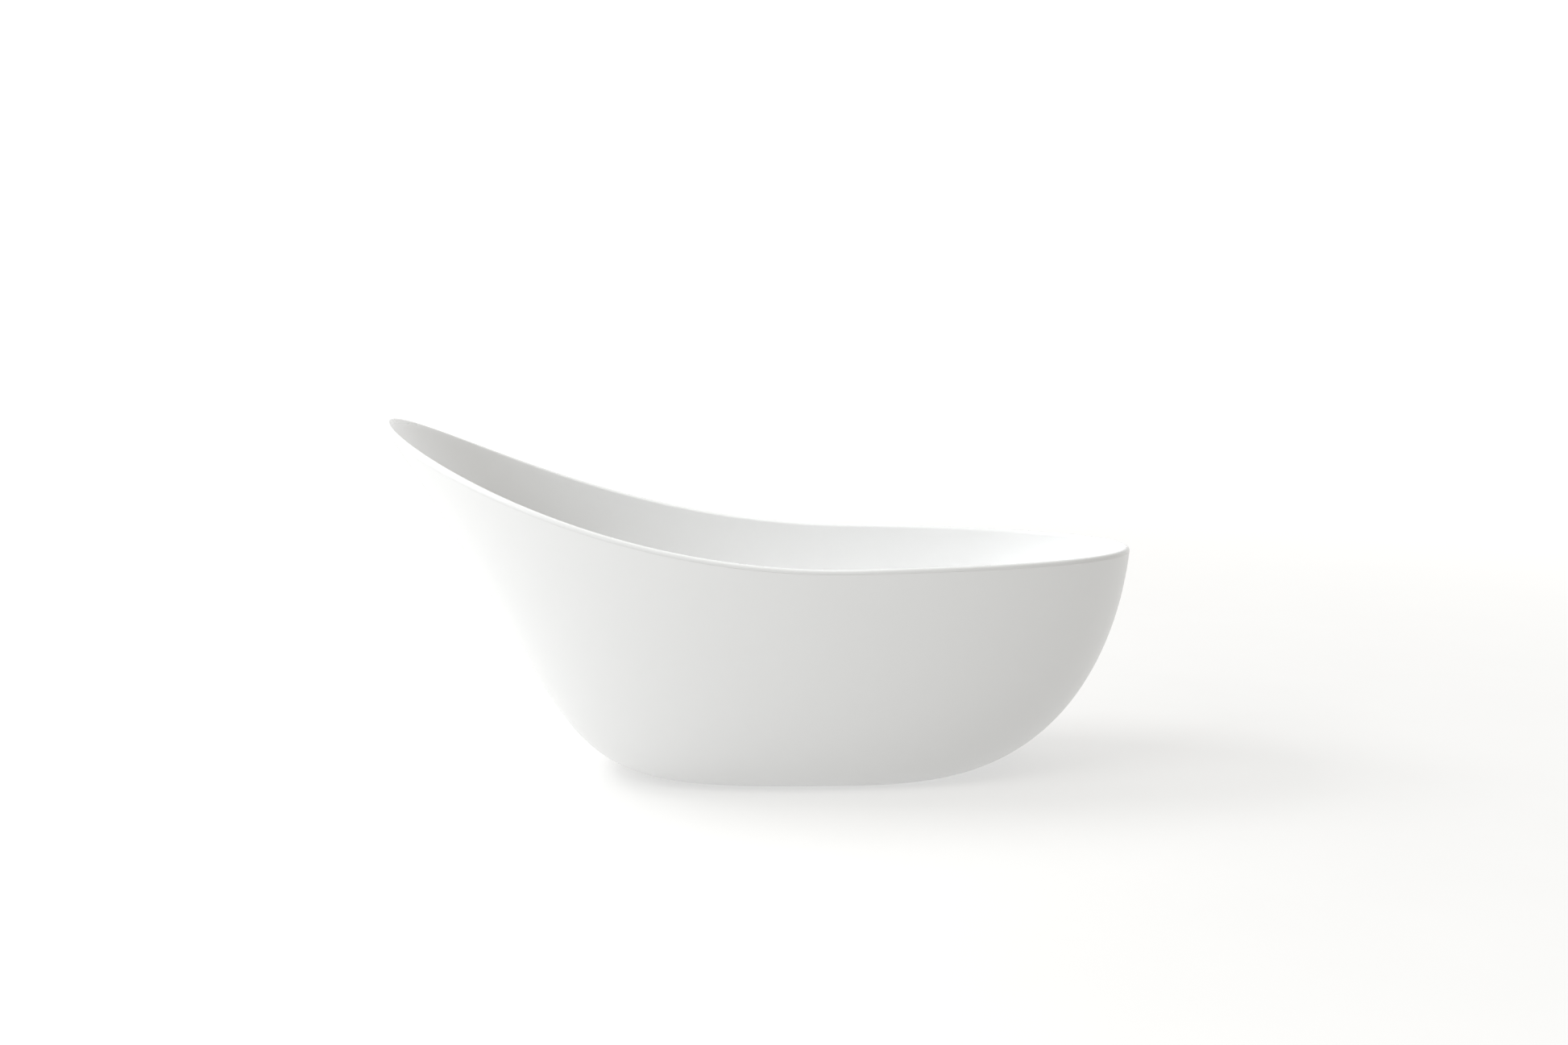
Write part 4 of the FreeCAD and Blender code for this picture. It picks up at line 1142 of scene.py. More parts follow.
@dataclass
class Skins:
    """The basin with its rolled lip, and the skirt round it."""

    form: TubForm
    wall_rows: int = 96
    back_rows: int = 30
    lip_steps: int = 14
    floor_rows: int = 16
    seam: float = 0.0003
    bead: float = 0.007
    overflow_drop: float = 0.120
    land_radius: float = 0.035
    land_blend: float = 0.034
    hole_radius: float = 0.022
    recess_radius: float = 0.037
    recess_depth: float = 0.0035
    recess_edge: float = 0.0022
    waste_hole: float = 0.0255
    hole_edge: float = 0.0006
    recess_bend: float = 0.0008
    pad_thick: float = 0.008
    pad_margin: float = 0.006
    pad_bend: float = 0.001
    levelled_rows: int = 6

    def __post_init__(self) -> None:
        """Work out the overflow's frame, and the heights at the waste."""
        form = self.form
        self.overflow = form.overflow_matrix(form.rim_low - self.overflow_drop)
        self.recess_floor = form.floor_height - self.recess_depth
        self.pad_under = self.recess_floor - self.pad_thick

    def waste_ring(self, radius: float, height: float) -> Row:
        """A level circle round the waste's axis."""
        return self.form.ring(Vector((self.form.waste_x, 0.0, height)), radius)

    def sleeve(
        self,
        name: str,
        rows: list[Row],
        finishes: Sequence[Finishes],
        second: Callable[[int], bool],
    ) -> bpy.types.Object:
        """Extrude a circle through every row and set each ring on its row.

        The skins bend two ways at once, which no operator shapes, so the rings are set on rows of
        points worked out from the tub's form.

        Args:
            name: The piece's name.
            rows: The rows in order round the section; the last meets the first.
            finishes: Its one or two finishes.
            second: True for a band above a row that takes the second finish.

        Returns:
            The closed skin.
        """
        form = self.form
        Bench.clear()
        bpy.ops.mesh.primitive_circle_add(vertices=form.stations, radius=1.0, fill_type="NOTHING")
        thing = Bench.named(name)
        bpy.ops.object.mode_set(mode="EDIT")
        bpy.ops.mesh.select_mode(type="EDGE")
        bpy.ops.mesh.select_all(action="SELECT")
        for _ in rows:
            bpy.ops.mesh.extrude_region_move(TRANSFORM_OT_translate={"value": (0.0, 0.0, 1.0)})
        Bench.done()
        for finish in finishes:
            thing.data.materials.append(finish.material())
        for face in thing.data.polygons:
            face.material_index = int(second(int(face.center.z)))
        closed = [*rows, rows[0]]
        for vertex in thing.data.vertices:
            row = closed[round(vertex.co.z)]
            turn = math.atan2(vertex.co.y, vertex.co.x)
            vertex.co = row[round(turn / (2.0 * math.pi) * form.stations) % form.stations]
        return Bench.tidy(thing, 1e-7)

    def lip_rows(self) -> list[Row]:
        """Lay out the full-round lip.

        Returns:
            Its rows, from its inner edge over the crown to its outer edge.
        """
        form = self.form
        radius = form.lip / 2.0
        rows = []
        for k in range(1, self.lip_steps + 1):
            turn = math.pi * k / self.lip_steps
            row = []
            for edge, normal, rise in zip(form.edge, form.normals, form.rises):
                middle = edge - normal * radius
                across, up = radius * math.cos(turn), radius * math.sin(turn)
                row.append(middle - normal * across + rise * up)
            rows.append(row)
        return rows

    def pressed(self, rows: list[Row]) -> list[Row]:
        """Press a flat land for the overflow into the wall.

        Args:
            rows: The wall's rows, changed in place.

        Returns:
            The rows.
        """
        inverse = self.overflow.inverted()
        for row in rows:
            for i, point in enumerate(row):
                local = inverse @ point
                reach = math.hypot(local.x, local.y)
                if reach > self.land_radius + self.land_blend or abs(local.z) > 0.03:
                    continue
                share = min(1.0, max(0.0, (reach - self.land_radius) / self.land_blend))
                local.z *= share * share * (3.0 - 2.0 * share)
                row[i] = self.overflow @ local
        return rows

    def floor_band(self) -> list[Row]:
        """Lay out the waste's seat and the floor round it.

        Returns:
            Rows from the waste hole's lower edge up through the recess and out over the floor.
        """
        form = self.form
        level = form.floor_height
        hole, recess, edge = self.waste_hole, self.recess_radius, self.recess_edge
        seat = [
            (hole, self.pad_under), (hole, self.pad_under + self.hole_edge),
            (hole, self.recess_floor - self.hole_edge), (hole + self.hole_edge, self.recess_floor),
            (recess - self.recess_bend, self.recess_floor),
            (recess, self.recess_floor + self.recess_bend), (recess, level - edge),
        ]
        for k in range(1, 5):
            turn = math.pi / 2.0 * k / 4
            seat.append((recess + edge * (1.0 - math.cos(turn)), level - edge * (1.0 - math.sin(turn))))
        rows = [self.waste_ring(radius, height) for radius, height in seat]
        rim = rows[-1]
        outline = [form.floor.point(angle) for angle in form.angles]
        for k in range(1, self.floor_rows):
            share = (k / self.floor_rows) ** 1.4
            row = []
            for near, far in zip(rim, outline):
                point = near.lerp(far, share)
                settled = min(1.0, share * 8.0)
                point.z = level + (form.floor_level(point.x) - level) * settled
                row.append(point)
            rows.append(row)
        return rows

    def basin_back(self, level: float) -> list[Row]:
        """Lay out the basin's back, which settles to a level underside that rests on the board.

        Args:
            level: Height of the underside.

        Returns:
            The rows, from the lip down.
        """
        form = self.form
        back = form.behind(form.rows(form.basin_rib, self.back_rows), -form.wall)
        back[-1] = [inner + normal * form.wall for inner, normal in zip(form.inner, form.normals)]
        back.reverse()
        start = self.back_rows - self.levelled_rows
        for k, row in enumerate(back):
            share = min(1.0, max(0.0, (k - start) / self.levelled_rows))
            for point in row:
                point.z = max(level, point.z + (level - point.z) * share)
        return back

    def build_basin(self) -> None:
        """Model the basin: waste seat, floor, wall, lip, back and underside in one skin."""
        form = self.form
        level = form.floor_height - form.wall
        front = [*self.floor_band(), *self.pressed(form.rows(form.basin_rib, self.wall_rows)),
                 *self.lip_rows()]
        pad = self.recess_radius + self.pad_margin
        pad_rows = [
            self.waste_ring(pad + self.pad_bend, level), self.waste_ring(pad, level - self.pad_bend),
            self.waste_ring(pad, self.pad_under),
        ]
        rows = [*front, *self.basin_back(level), *pad_rows]
        basin = self.sleeve("basin_skin", rows, SKIN_FINISHES, lambda k: k >= len(front) - 1)
        hole = Bench.bar("hole_tool", self.hole_radius, 10.0 * form.wall, ORIGIN, 64)
        Bench.cut(basin, Bench.turn_to(hole, self.overflow))
        Bench.smooth(basin, 28.0)
        Bench.finish(basin, Finishes.ACRYLIC, "acrylic_gloss_white", TUB, ["inner_basin"])

    def build_skirt(self) -> None:
        """Model the skirt: outer face, top edge under the lip, inner face and bottom edge."""
        form = self.form
        top = [point - lean * self.seam for point, lean in zip(form.edge, form.leans)]
        front = form.rows(form.skirt_rib, self.wall_rows)
        front[-1] = top
        back = form.behind(form.rows(form.skirt_rib, self.back_rows), form.wall)
        back[-1] = [point - normal * form.wall for point, normal in zip(top, form.normals)]
        back.reverse()
        skirt = self.sleeve("skirt_skin", [*front, *back], SKIN_FINISHES, lambda k: k > self.wall_rows)
        Bench.smooth(skirt, 40.0)
        Bench.finish(skirt, Finishes.ACRYLIC, "acrylic_gloss_white", TUB, ["outer_skirt"])

    def build_bond(self) -> None:
        """Model the bead of adhesive in the corner between the skirt and the lip's underside."""
        form = self.form
        # Each corner of the bead's section: how many walls in from the edge, how many beads up.
        section = (
            (0.60, -1.0), (1.05, -1.0), (1.45, -0.55), (1.90, -0.22), (2.20, 0.02), (1.60, 0.10),
            (0.95, -0.04),
        )
        rows = []
        for walls, beads in section:
            row = []
            for i, edge in enumerate(form.edge):
                uneven = 1.0 + 0.14 * math.sin(i * 0.61) * math.sin(i * 0.23 + 1.0)
                rise = form.rises[i] * (self.bead * beads * uneven)
                row.append(edge - form.normals[i] * (walls * form.wall) + rise)
            rows.append(row)
        bead = self.sleeve("lip_bond", rows, (Finishes.ADHESIVE,), lambda k: False)
        Bench.smooth(bead, 60.0)
        Bench.finish(bead, Finishes.ADHESIVE, "acrylic_gloss_white", TUB)

    def build(self) -> None:
        """Model both skins and the bond between them."""
        self.build_basin()
        self.build_skirt()
        self.build_bond()


# ---- Frame, board and feet -------------------------------------------------------------------------


@dataclass
class UnderFrame:
    """Board under the floor, and the welded tube frame screwed to it."""

    wall: float = 0.002
    corner: float = 0.003
    stud_hole: float = 0.0066
    board_corner: float = 0.110
    board_hole: float = 0.0445
    waste_x: float = 0.340
    cap_flange: float = 0.003
    cap_plug: float = 0.012
    screw_places: tuple[float, ...] = (-0.1875, 0.053, 0.3425)
    cross_places: tuple[float, ...] = (-0.120, 0.078, 0.275)
    foot_places: tuple[float, ...] = (-0.120, 0.275)
    spread: float = 0.140
    weld_ripples: int = 12
    weld_low: float = 0.0018
    weld_high: float = 0.0024

    def __post_init__(self) -> None:
        """Read the frame's own levels."""
        low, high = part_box("long_rail_left")
        self.tube = high[2] - low[2]
        self.under = low[2]
        self.top = high[2]
        self.ends = (low[0], high[0])

    @staticmethod
    def round_along(thing: bpy.types.Object, axis: int, radius: float, segments: int) -> None:
        """Round the edges that run along an axis.

        Args:
            thing: A box.
            axis: 0, 1 or 2 for X, Y or Z.
            radius: How much the edges are rounded.
            segments: Faces round each edge.
        """
        spots = [vertex.co[axis] for vertex in thing.data.vertices]
        Bench.pick(thing, "EDGE", lambda e: abs(spots[e.vertices[0]] - spots[e.vertices[1]]) > 1e-5)
        bpy.ops.mesh.bevel(offset=radius, segments=segments, affect="EDGES")
        Bench.done()

    def build_tube(self, node: str) -> None:
        """Model one rail as a rounded square tube with its stud holes.

        Args:
            node: The CAD node it stands for.
        """
        low, high = (Vector(corner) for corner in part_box(node))
        size = high - low
        centre = (low + high) / 2.0
        axis = 0 if size.x > size.y else 1
        tube = Bench.block(f"{node}_tube", size, centre)
        self.round_along(tube, axis, self.corner, 4)
        room = Vector([part - 2.0 * self.wall for part in size])
        room[axis] = size[axis] + 0.02
        core = Bench.block("core_tool", room, centre)
        self.round_along(core, axis, self.corner - self.wall * 0.8, 3)
        Bench.cut(tube, core)
        if axis == 0:
            for x in self.foot_places:
                at = (x, centre.y, self.under)
                Bench.cut(tube, Bench.bar("hole_tool", self.stud_hole, 0.012, at, 32))
        Bench.ease(tube, 0.0003, 1, 60.0)
        Bench.smooth(tube, 35.0)
        Bench.finish(tube, Finishes.GALVANISED, "galvanised_steel", TUB, [node])

    def build_welds(self) -> None:
        """Model the weld beads where the cross rails meet the long rails."""
        length = self.tube - 0.004
        step = length / self.weld_ripples
        profile = [(0.0, -length / 2.0)]
        for k in range(self.weld_ripples):
            base = -length / 2.0 + step * k
            profile += [(self.weld_low, base + step * 0.1), (self.weld_high, base + step * 0.5),
                        (self.weld_low, base + step * 0.9)]
        profile.append((0.0, length / 2.0))
        bead = Bench.turned("weld_bead", profile, 16)
        flat = Bench.copy(bead, "flat_bead")
        Bench.turn_to(flat, Matrix.Diagonal((1.0, 1.0, 0.35, 1.0)) @ quarter_turn("Y", ORIGIN))
        beads = []
        middle = (self.under + self.top) / 2.0
        inner = self.spread - self.tube / 2.0
        for x in self.cross_places:
            for side in (-1.0, 1.0):
                for end in (-1.0, 1.0):
                    spot = (x + end * self.tube / 2.0, side * inner, middle)
                    beads.append(Bench.copy(bead, "bead", spot))
                beads.append(Bench.copy(flat, "bead", (x, side * inner, self.under)))
        Bench.discard(bead, flat)
        welds = Bench.smooth(Bench.join("frame_welds", beads), 50.0)
        Bench.finish(welds, Finishes.GALVANISED, "galvanised_steel", TUB)

    def build_caps(self) -> None:
        """Model the four end caps: a domed flange and a ribbed plug."""
        middle = (self.under + self.top) / 2.0
        side = self.tube - 2.0 * self.wall
        flange = Bench.block("cap_flange", (self.cap_flange, self.tube, self.tube),
                             (self.cap_flange / 2.0, 0.0, middle))
        self.round_along(flange, 0, self.corner, 4)
        Bench.ease(flange, 0.0009, 3, 60.0)
        parts = [flange]
        plug = Bench.block("cap_plug", (self.cap_plug, side - 0.002, side - 0.002),
                           (-self.cap_plug / 2.0, 0.0, middle))
        parts.append(Bench.ease(plug, 0.0012, 2))
        for k in range(3):
            rib = Bench.block("cap_rib", (0.0012, side - 0.0004, side - 0.0004),
                              (-0.003 - 0.0036 * k, 0.0, middle))
            parts.append(Bench.ease(rib, 0.0004, 1))
        cap = Bench.smooth(Bench.join("cap", parts), 40.0)
        caps = []
        for y in (-self.spread, self.spread):
            caps.append(Bench.copy(cap, "cap_foot", (self.ends[1], y, 0.0)))
            mirrored = Bench.turn_to(Bench.copy(cap, "cap_head"), Matrix.Rotation(math.pi, 4, "Z"))
            caps.append(Bench.copy(mirrored, "cap_head", (self.ends[0], y, 0.0)))
            Bench.discard(mirrored)
        Bench.discard(cap)
        caps_piece = Bench.join("tube_end_caps", caps)
        Bench.finish(caps_piece, Finishes.NYLON, "black_plastic", TUB, ["rail_end_caps"])

    def build_screws(self) -> None:
        """Model the pan-head screws that hold the frame to the board."""
        under = self.under
        tip = head_of("frame_screws")
        low = foot_of("frame_screws")
        screw = Bench.turned("screw", [
            (0.0, low), (0.0026, low), (0.0042, low + 0.0003), (0.0049, low + 0.0011),
            (0.005, under - 0.0004), (0.0048, under), (0.0024, under), (0.0024, tip - 0.004),
            (0.0, tip),
        ], 32)
        Bench.cross_recess(screw, 0.0052, 0.0010, 0.0026, low)
        Bench.smooth(screw, 35.0)
        screws = [
            Bench.copy(screw, "screw_copy", (x, y, 0.0))
            for x in self.screw_places for y in (-self.spread, self.spread)
        ]
        Bench.discard(screw)
        joined = Bench.join("pan_screws", screws)
        Bench.finish(joined, Finishes.ZINC, "zinc_fastener", TUB, ["frame_screws"])

    def build_board(self) -> None:
        """Model the board: rounded plan, eased edges, and the hole for the waste."""
        low, high = (Vector(corner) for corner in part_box("base_board"))
        board = Bench.block("ply_board", high - low, (low + high) / 2.0)
        self.round_along(board, 2, self.board_corner, 20)
        Bench.ease(board, 0.0014, 2, 60.0)
        at = (self.waste_x, 0.0, high.z)
        Bench.cut(board, Bench.bar("hole_tool", self.board_hole, 0.05, at, 96))
        Bench.smooth(board, 35.0)
        Bench.finish(board, Finishes.PLYWOOD, "plywood", TUB, ["base_board"])

    def build(self) -> None:
        """Model the whole frame."""
        for node in ("long_rail_left", "long_rail_right", "cross_rail_head", "cross_rail_middle",
                     "cross_rail_foot"):
            self.build_tube(node)
        self.build_welds()
        self.build_caps()
        self.build_screws()
        self.build_board()


@dataclass
class Feet:
    """Four levelling feet with their bosses and lock nuts."""

    names: tuple[str, ...] = ("head_left", "foot_left", "head_right", "foot_right")
    stud: float = 0.006
    bore: float = 0.0062
    pitch: float = 0.00175
    pad: float = 0.022
    cup: float = 0.012
    socket: float = 0.00605
    boss: float = 0.011
    root: float = 0.00505
    collar_foot: float = 0.0183
    collar_thick: float = 0.008
    collar_corner: float = 0.009
    nut_corner: float = 0.0104

    def spots(self) -> dict[str, Point]:
        """Where each foot stands."""
        middles = {name: centre_of(f"foot_sole_{name}") for name in self.names}
        return {name: (middle.x, middle.y, 0.0) for name, middle in middles.items()}

    def build_sole(self) -> bpy.types.Object:
        """Model a rubber sole with rings moulded in its underside.

        Returns:
            The sole, on the Z axis.
        """
        sole = Bench.turned("sole", [
            (0.0, 0.0007), (0.0030, 0.0007), (0.0036, 0.0), (0.0080, 0.0), (0.0085, 0.0009),
            (0.0098, 0.0009), (0.0103, 0.0), (0.0142, 0.0), (0.0147, 0.0009), (0.0160, 0.0009),
            (0.0165, 0.0), (0.0211, 0.0), (0.0218, 0.0003), (self.pad, 0.0010), (self.pad, 0.0034),
            (0.0218, 0.0038), (0.0214, 0.0040), (0.0, 0.0040),
        ], 64)
        return Bench.smooth(sole, 30.0)

    def build_plate(self) -> bpy.types.Object:
        """Model a foot plate: a dished disc, a cup for the stud, and gussets between them.

        Returns:
            The plate, on the Z axis.
        """
        disc = Bench.turned("plate", [
            (0.0, 0.0040), (0.0206, 0.0040), (0.0210, 0.0044), (0.0210, 0.0056), (0.0205, 0.0061),
            (0.0128, 0.0076), (self.cup, 0.0086), (self.cup, 0.0172), (0.0117, 0.0178),
            (0.0112, 0.0180), (0.0068, 0.0180), (self.socket, 0.0172), (self.socket, 0.0080),
            (0.0, 0.0080),
        ], 64)
        rib = Bench.block("gusset", (0.0078, 0.0016, 0.0078), (0.0154, 0.0, 0.0098))
        Bench.pick(rib, "VERT", lambda v: v.co.x > 0.017 and v.co.z > 0.010)
        bpy.ops.transform.translate(value=(0.0, 0.0, -0.0070))
        Bench.done()
        Bench.ease(rib, 0.0003, 2)
        plate = Bench.join("plate", [disc, *Bench.around(rib, 8)])
        return Bench.smooth(plate, 30.0)

    def build_stud(self) -> bpy.types.Object:
        """Model a threaded stud with its spanner collar.

        Returns:
            The stud, on the Z axis.
        """
        low, top = foot_of("foot_stud_head_left"), head_of("foot_stud_head_left")
        collar = self.collar_foot
        collar_top = collar + self.collar_thick
        core = Bench.turned("stud", [
            (0.0, low), (0.0044, low), (self.stud, low + 0.0016), (self.stud, collar_top - 0.0002),
            (self.root, collar_top + 0.0010), (self.root, top - 0.0014), (0.0040, top), (0.0, top),
        ], 40)
        nut = Bench.hexagon("collar", self.collar_corner, collar, collar_top, 0.0052)
        ridge = Bench.thread("ridge", self.stud, self.root, collar_top + 0.0012, top - 0.0012,
                             self.pitch)
        return Bench.smooth(Bench.join("stud", [core, nut, ridge]), 30.0)

    def build_boss(self) -> bpy.types.Object:
        """Model a boss with the weld that holds it under the rail.

        Returns:
            The boss, on the Z axis.
        """
        low, top = foot_of("foot_bosses"), head_of("foot_bosses")
        boss = Bench.turned("boss", [
            (self.bore, low + 0.0008), (self.bore + 0.0007, low), (self.boss - 0.0007, low),
            (self.boss, low + 0.0007), (self.boss, top - 0.0030), (0.0116, top - 0.0018),
            (0.0126, top - 0.0010), (0.0140, top - 0.0003), (0.0140, top), (self.bore, top),
        ], 64)
        return Bench.smooth(boss, 30.0)

    def build_nut(self) -> bpy.types.Object:
        """Model a lock nut."""
        low, top = foot_of("foot_lock_nuts"), head_of("foot_lock_nuts")
        return Bench.smooth(Bench.hexagon("lock_nut", self.nut_corner, low, top, self.bore), 30.0)

    def build(self) -> None:
        """Model one foot, and copy it to the four places."""
        spots = self.spots()
        moving = (
            (self.build_sole(), "foot_sole", "pad", Finishes.FOOT_RUBBER, "foot_rubber"),
            (self.build_plate(), "foot_plate", "pad", Finishes.NYLON, "black_plastic"),
            (self.build_stud(), "foot_stud", "stud", Finishes.ZINC, "zinc_fastener"),
        )
        for pattern, node, body, finish, slot in moving:
            for name, spot in spots.items():
                piece = Bench.copy(pattern, f"{pattern.name}_{name}", spot)
                Bench.finish(piece, finish, slot, f"{body}_{name}", [f"{node}_{name}"])
            Bench.discard(pattern)
        fixed = (
            (self.build_boss(), "weld_bosses", Finishes.GALVANISED, "galvanised_steel", "foot_bosses"),
            (self.build_nut(), "lock_nuts", Finishes.ZINC, "zinc_fastener", "foot_lock_nuts"),
        )
        for pattern, label, finish, slot, node in fixed:
            copies = [Bench.copy(pattern, "copy", spot) for spot in spots.values()]
            Bench.discard(pattern)
            Bench.finish(Bench.join(label, copies), finish, slot, TUB, [node])


# ---- Waste, plug and overflow ----------------------------------------------------------------------


@dataclass
class Waste:
    """Flange, nuts and body of the waste, and the plug's cap."""

    bore: float = 0.020
    tail: float = 0.024
    rim: float = 0.035
    rim_thick: float = 0.003
    hub: float = 0.009
    hub_above: float = 0.018
    hub_tall: float = 0.008
    cartridge: float = 0.007
    spoke: float = 0.003
    body_wall: float = 0.003
    outlet: float = 0.020
    outlet_long: float = 0.030
    spigot: float = 0.008
    spigot_bore: float = 0.006
    pipe_height: float = 0.066
    thread_pitch: float = 0.002
    wire: float = 0.0005
    coil: float = 0.0048
    coil_turns: int = 6
    travel: float = 0.009

    def __post_init__(self) -> None:
        """Read the waste's axis."""
        middle = centre_of("waste_flange")
        self.axis = (middle.x, 0.0, 0.0)

    def place(self, thing: bpy.types.Object) -> bpy.types.Object:
        """Stand a piece made round the origin on the waste's axis."""
        return Bench.turn_to(thing, Matrix.Translation(self.axis))

    def build_flange(self) -> None:
        """Model the flange, its threaded tail, and the spider that holds the cartridge."""
        low, top = foot_of("waste_flange"), head_of("waste_flange")
        under = top - self.rim_thick
        root = self.tail - 0.0010
        flange = Bench.turned("flange_ring", [
            (self.bore, low + 0.0005), (self.bore + 0.0005, low), (root - 0.0006, low),
            (root, low + 0.0006), (root, under - 0.0102), (self.tail, under - 0.0092),
            (self.tail, under), (self.rim - 0.0006, under), (self.rim, under + 0.0008),
            (self.rim, top - 0.0011), (self.rim - 0.0004, top - 0.0004), (self.rim - 0.0012, top),
            (self.rim - 0.0030, top), (self.rim - 0.0042, top - 0.0003), (0.0285, top - 0.0013),
            (0.0270, top - 0.0014), (0.0212, top - 0.0014), (0.0204, top - 0.0017),
            (self.bore, top - 0.0024),
        ], 96)
        parts = [flange, Bench.thread("tail_thread", self.tail, root, low + 0.0148, under - 0.0100,
                                      self.thread_pitch)]
        base = foot_of("plug_cartridge") + self.hub_above
        parts.append(Bench.turned("hub_ring", [
            (self.cartridge, base + 0.0004), (self.cartridge + 0.0004, base), (self.hub - 0.0006, base),
            (self.hub, base + 0.0006), (self.hub, base + self.hub_tall - 0.0006),
            (self.hub - 0.0006, base + self.hub_tall), (self.cartridge + 0.0004, base + self.hub_tall),
            (self.cartridge, base + self.hub_tall - 0.0004),
        ], 48))
        arm = Bench.block("spider_arm", (self.bore - self.hub + 0.0016, self.spoke, self.hub_tall),
                          ((self.bore + self.hub) / 2.0, 0.0, base + self.hub_tall / 2.0))
        Bench.pick(arm, "VERT", lambda v: v.co.z < base + 0.001)
        bpy.ops.transform.resize(value=(1.0, 0.55, 1.0))
        Bench.done()
        Bench.ease(arm, 0.0006, 3)
        parts += Bench.around(arm, 4)
        whole = self.place(Bench.smooth(Bench.join("spider_flange", parts), 30.0))
        Bench.finish(whole, Finishes.CHROME, "chrome", TUB, ["waste_flange"])

    def build_nuts(self) -> None:
        """Model the back nut and the union nut."""
        wide = 1.0 / math.cos(math.pi / 6.0)
        clamp = Bench.hexagon("clamp_nut", (self.tail + 0.009) * wide, foot_of("waste_back_nut"),
                              head_of("waste_back_nut"), self.tail + 0.0002)
        Bench.smooth(self.place(clamp), 30.0)
        Bench.finish(clamp, Finishes.BRASS, "brass_nut", TUB, ["waste_back_nut"])
        body = self.tail + self.body_wall
        low, top = foot_of("waste_union_nut"), head_of("waste_union_nut")
        union = Bench.hexagon("joint_nut", (body + 0.004) * wide, low, top, body + 0.0001)
        grip = Bench.bar("grip", 0.0011, top - low - 0.003, (body + 0.0041, 0.0, (low + top) / 2.0), 16)
        Bench.ease(grip, 0.0004, 2)
        grips = []
        for shift in (-0.009, -0.0045, 0.0, 0.0045, 0.009):
            line = Bench.copy(grip, "grip_line", (0.0, shift, 0.0))
            Bench.turn_to(line, Matrix.Rotation(math.pi / 6.0, 4, "Z"))
            grips += Bench.around(line, 6)
        Bench.discard(grip)
        union = self.place(Bench.smooth(Bench.join("joint_nut", [union, *grips]), 30.0))
        Bench.finish(union, Finishes.MOULDED_WHITE, "white_plastic", TUB, ["waste_union_nut"])

    def build_body(self) -> None:
        """Model the waste body with its outlet, its shoulder ribs and its side spigot."""
        low, top = foot_of("waste_body"), head_of("waste_body")
        wide = self.tail + self.body_wall
        seat = foot_of("waste_flange")
        shoulder = low + self.outlet_long
        way = self.outlet - self.body_wall
        drum = Bench.turned("drum", [
            (way, low + 0.0003), (way + 0.0003, low), (self.outlet - 0.0008, low),
            (self.outlet, low + 0.0010), (self.outlet, shoulder),
            (self.outlet + 0.0016, shoulder + 0.0010), (wide - 0.0012, shoulder + 0.0048),
            (wide, shoulder + 0.0066), (wide, top - 0.0005), (wide - 0.0005, top),
            (self.tail + 0.0003, top), (self.tail, top - 0.0003), (self.tail, seat),
            (self.bore, seat), (self.bore, shoulder + 0.006), (way, shoulder),
        ], 96)
        hoops = [
            Bench.turned("hoop", [
                (wide - 0.0005, z - 0.0014), (wide + 0.0008, z - 0.0008), (wide + 0.0008, z + 0.0008),
                (wide - 0.0005, z + 0.0014),
            ], 96) for z in (low + 0.0425, low + 0.0615)
        ]
        rib = Bench.block("rib", (0.0056, 0.0018, 0.014), (self.outlet + 0.0022, 0.0, shoulder - 0.0010))
        Bench.pick(rib, "VERT", lambda v: v.co.x > self.outlet + 0.002 and v.co.z < shoulder)
        bpy.ops.transform.translate(value=(-0.0044, 0.0, 0.0))
        Bench.done()
        Bench.ease(rib, 0.0003, 2)
        ribs = Bench.around(rib, 8)
        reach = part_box("waste_body")[1][0] - self.axis[0]
        spigot = Bench.turned("spigot", [
            (self.spigot_bore, 0.0), (self.spigot, 0.0), (self.spigot, reach - 0.0215),
            (self.spigot, reach - 0.0010), (self.spigot - 0.0006, reach), (self.spigot_bore, reach),
        ], 48)
        sideways = quarter_turn("Y", (0.0, 0.0, self.pipe_height))
        Bench.turn_to(spigot, sideways)
        mouth = Bench.bar("mouth_tool", self.spigot, 0.030, (0.0, 0.0, self.tail))
        Bench.cut(drum, Bench.turn_to(mouth, sideways))
        inside = (2.0 * self.bore + 0.002, 0.03, 0.03)
        Bench.cut(spigot, Bench.block("stub_tool", inside, (0.0, 0.0, self.pipe_height)))
        whole = self.place(Bench.smooth(Bench.join("waste_drum", [drum, spigot, *hoops, *ribs]), 30.0))
        Bench.finish(whole, Finishes.MOULDED_WHITE, "white_plastic", TUB, ["waste_body"])

    def build_cap(self) -> None:
        """Model the plug's domed cap."""
        low, top = foot_of("plug_cap"), head_of("plug_cap")
        disc = low + 0.0025
        cap = Bench.turned("domed_cap", [
            (0.0, disc + 0.0025), (0.00402, disc + 0.0025), (0.00402, low), (0.0205, low),
            (0.0210, low + 0.0004), (0.0210, disc), (0.0302, disc), (0.0308, disc + 0.0004),
            (0.0310, disc + 0.0010), (0.0308, disc + 0.0016), (0.0302, disc + 0.0021),
            (0.0288, disc + 0.0027), (0.0255, disc + 0.0035), (0.0205, disc + 0.0042),
            (0.0140, top - 0.0003), (0.0070, top - 0.0001), (0.0, top),
        ], 96)
        Bench.smooth(self.place(cap), 30.0)
        Bench.finish(cap, Finishes.CHROME, "chrome", "plug", ["plug_cap"])

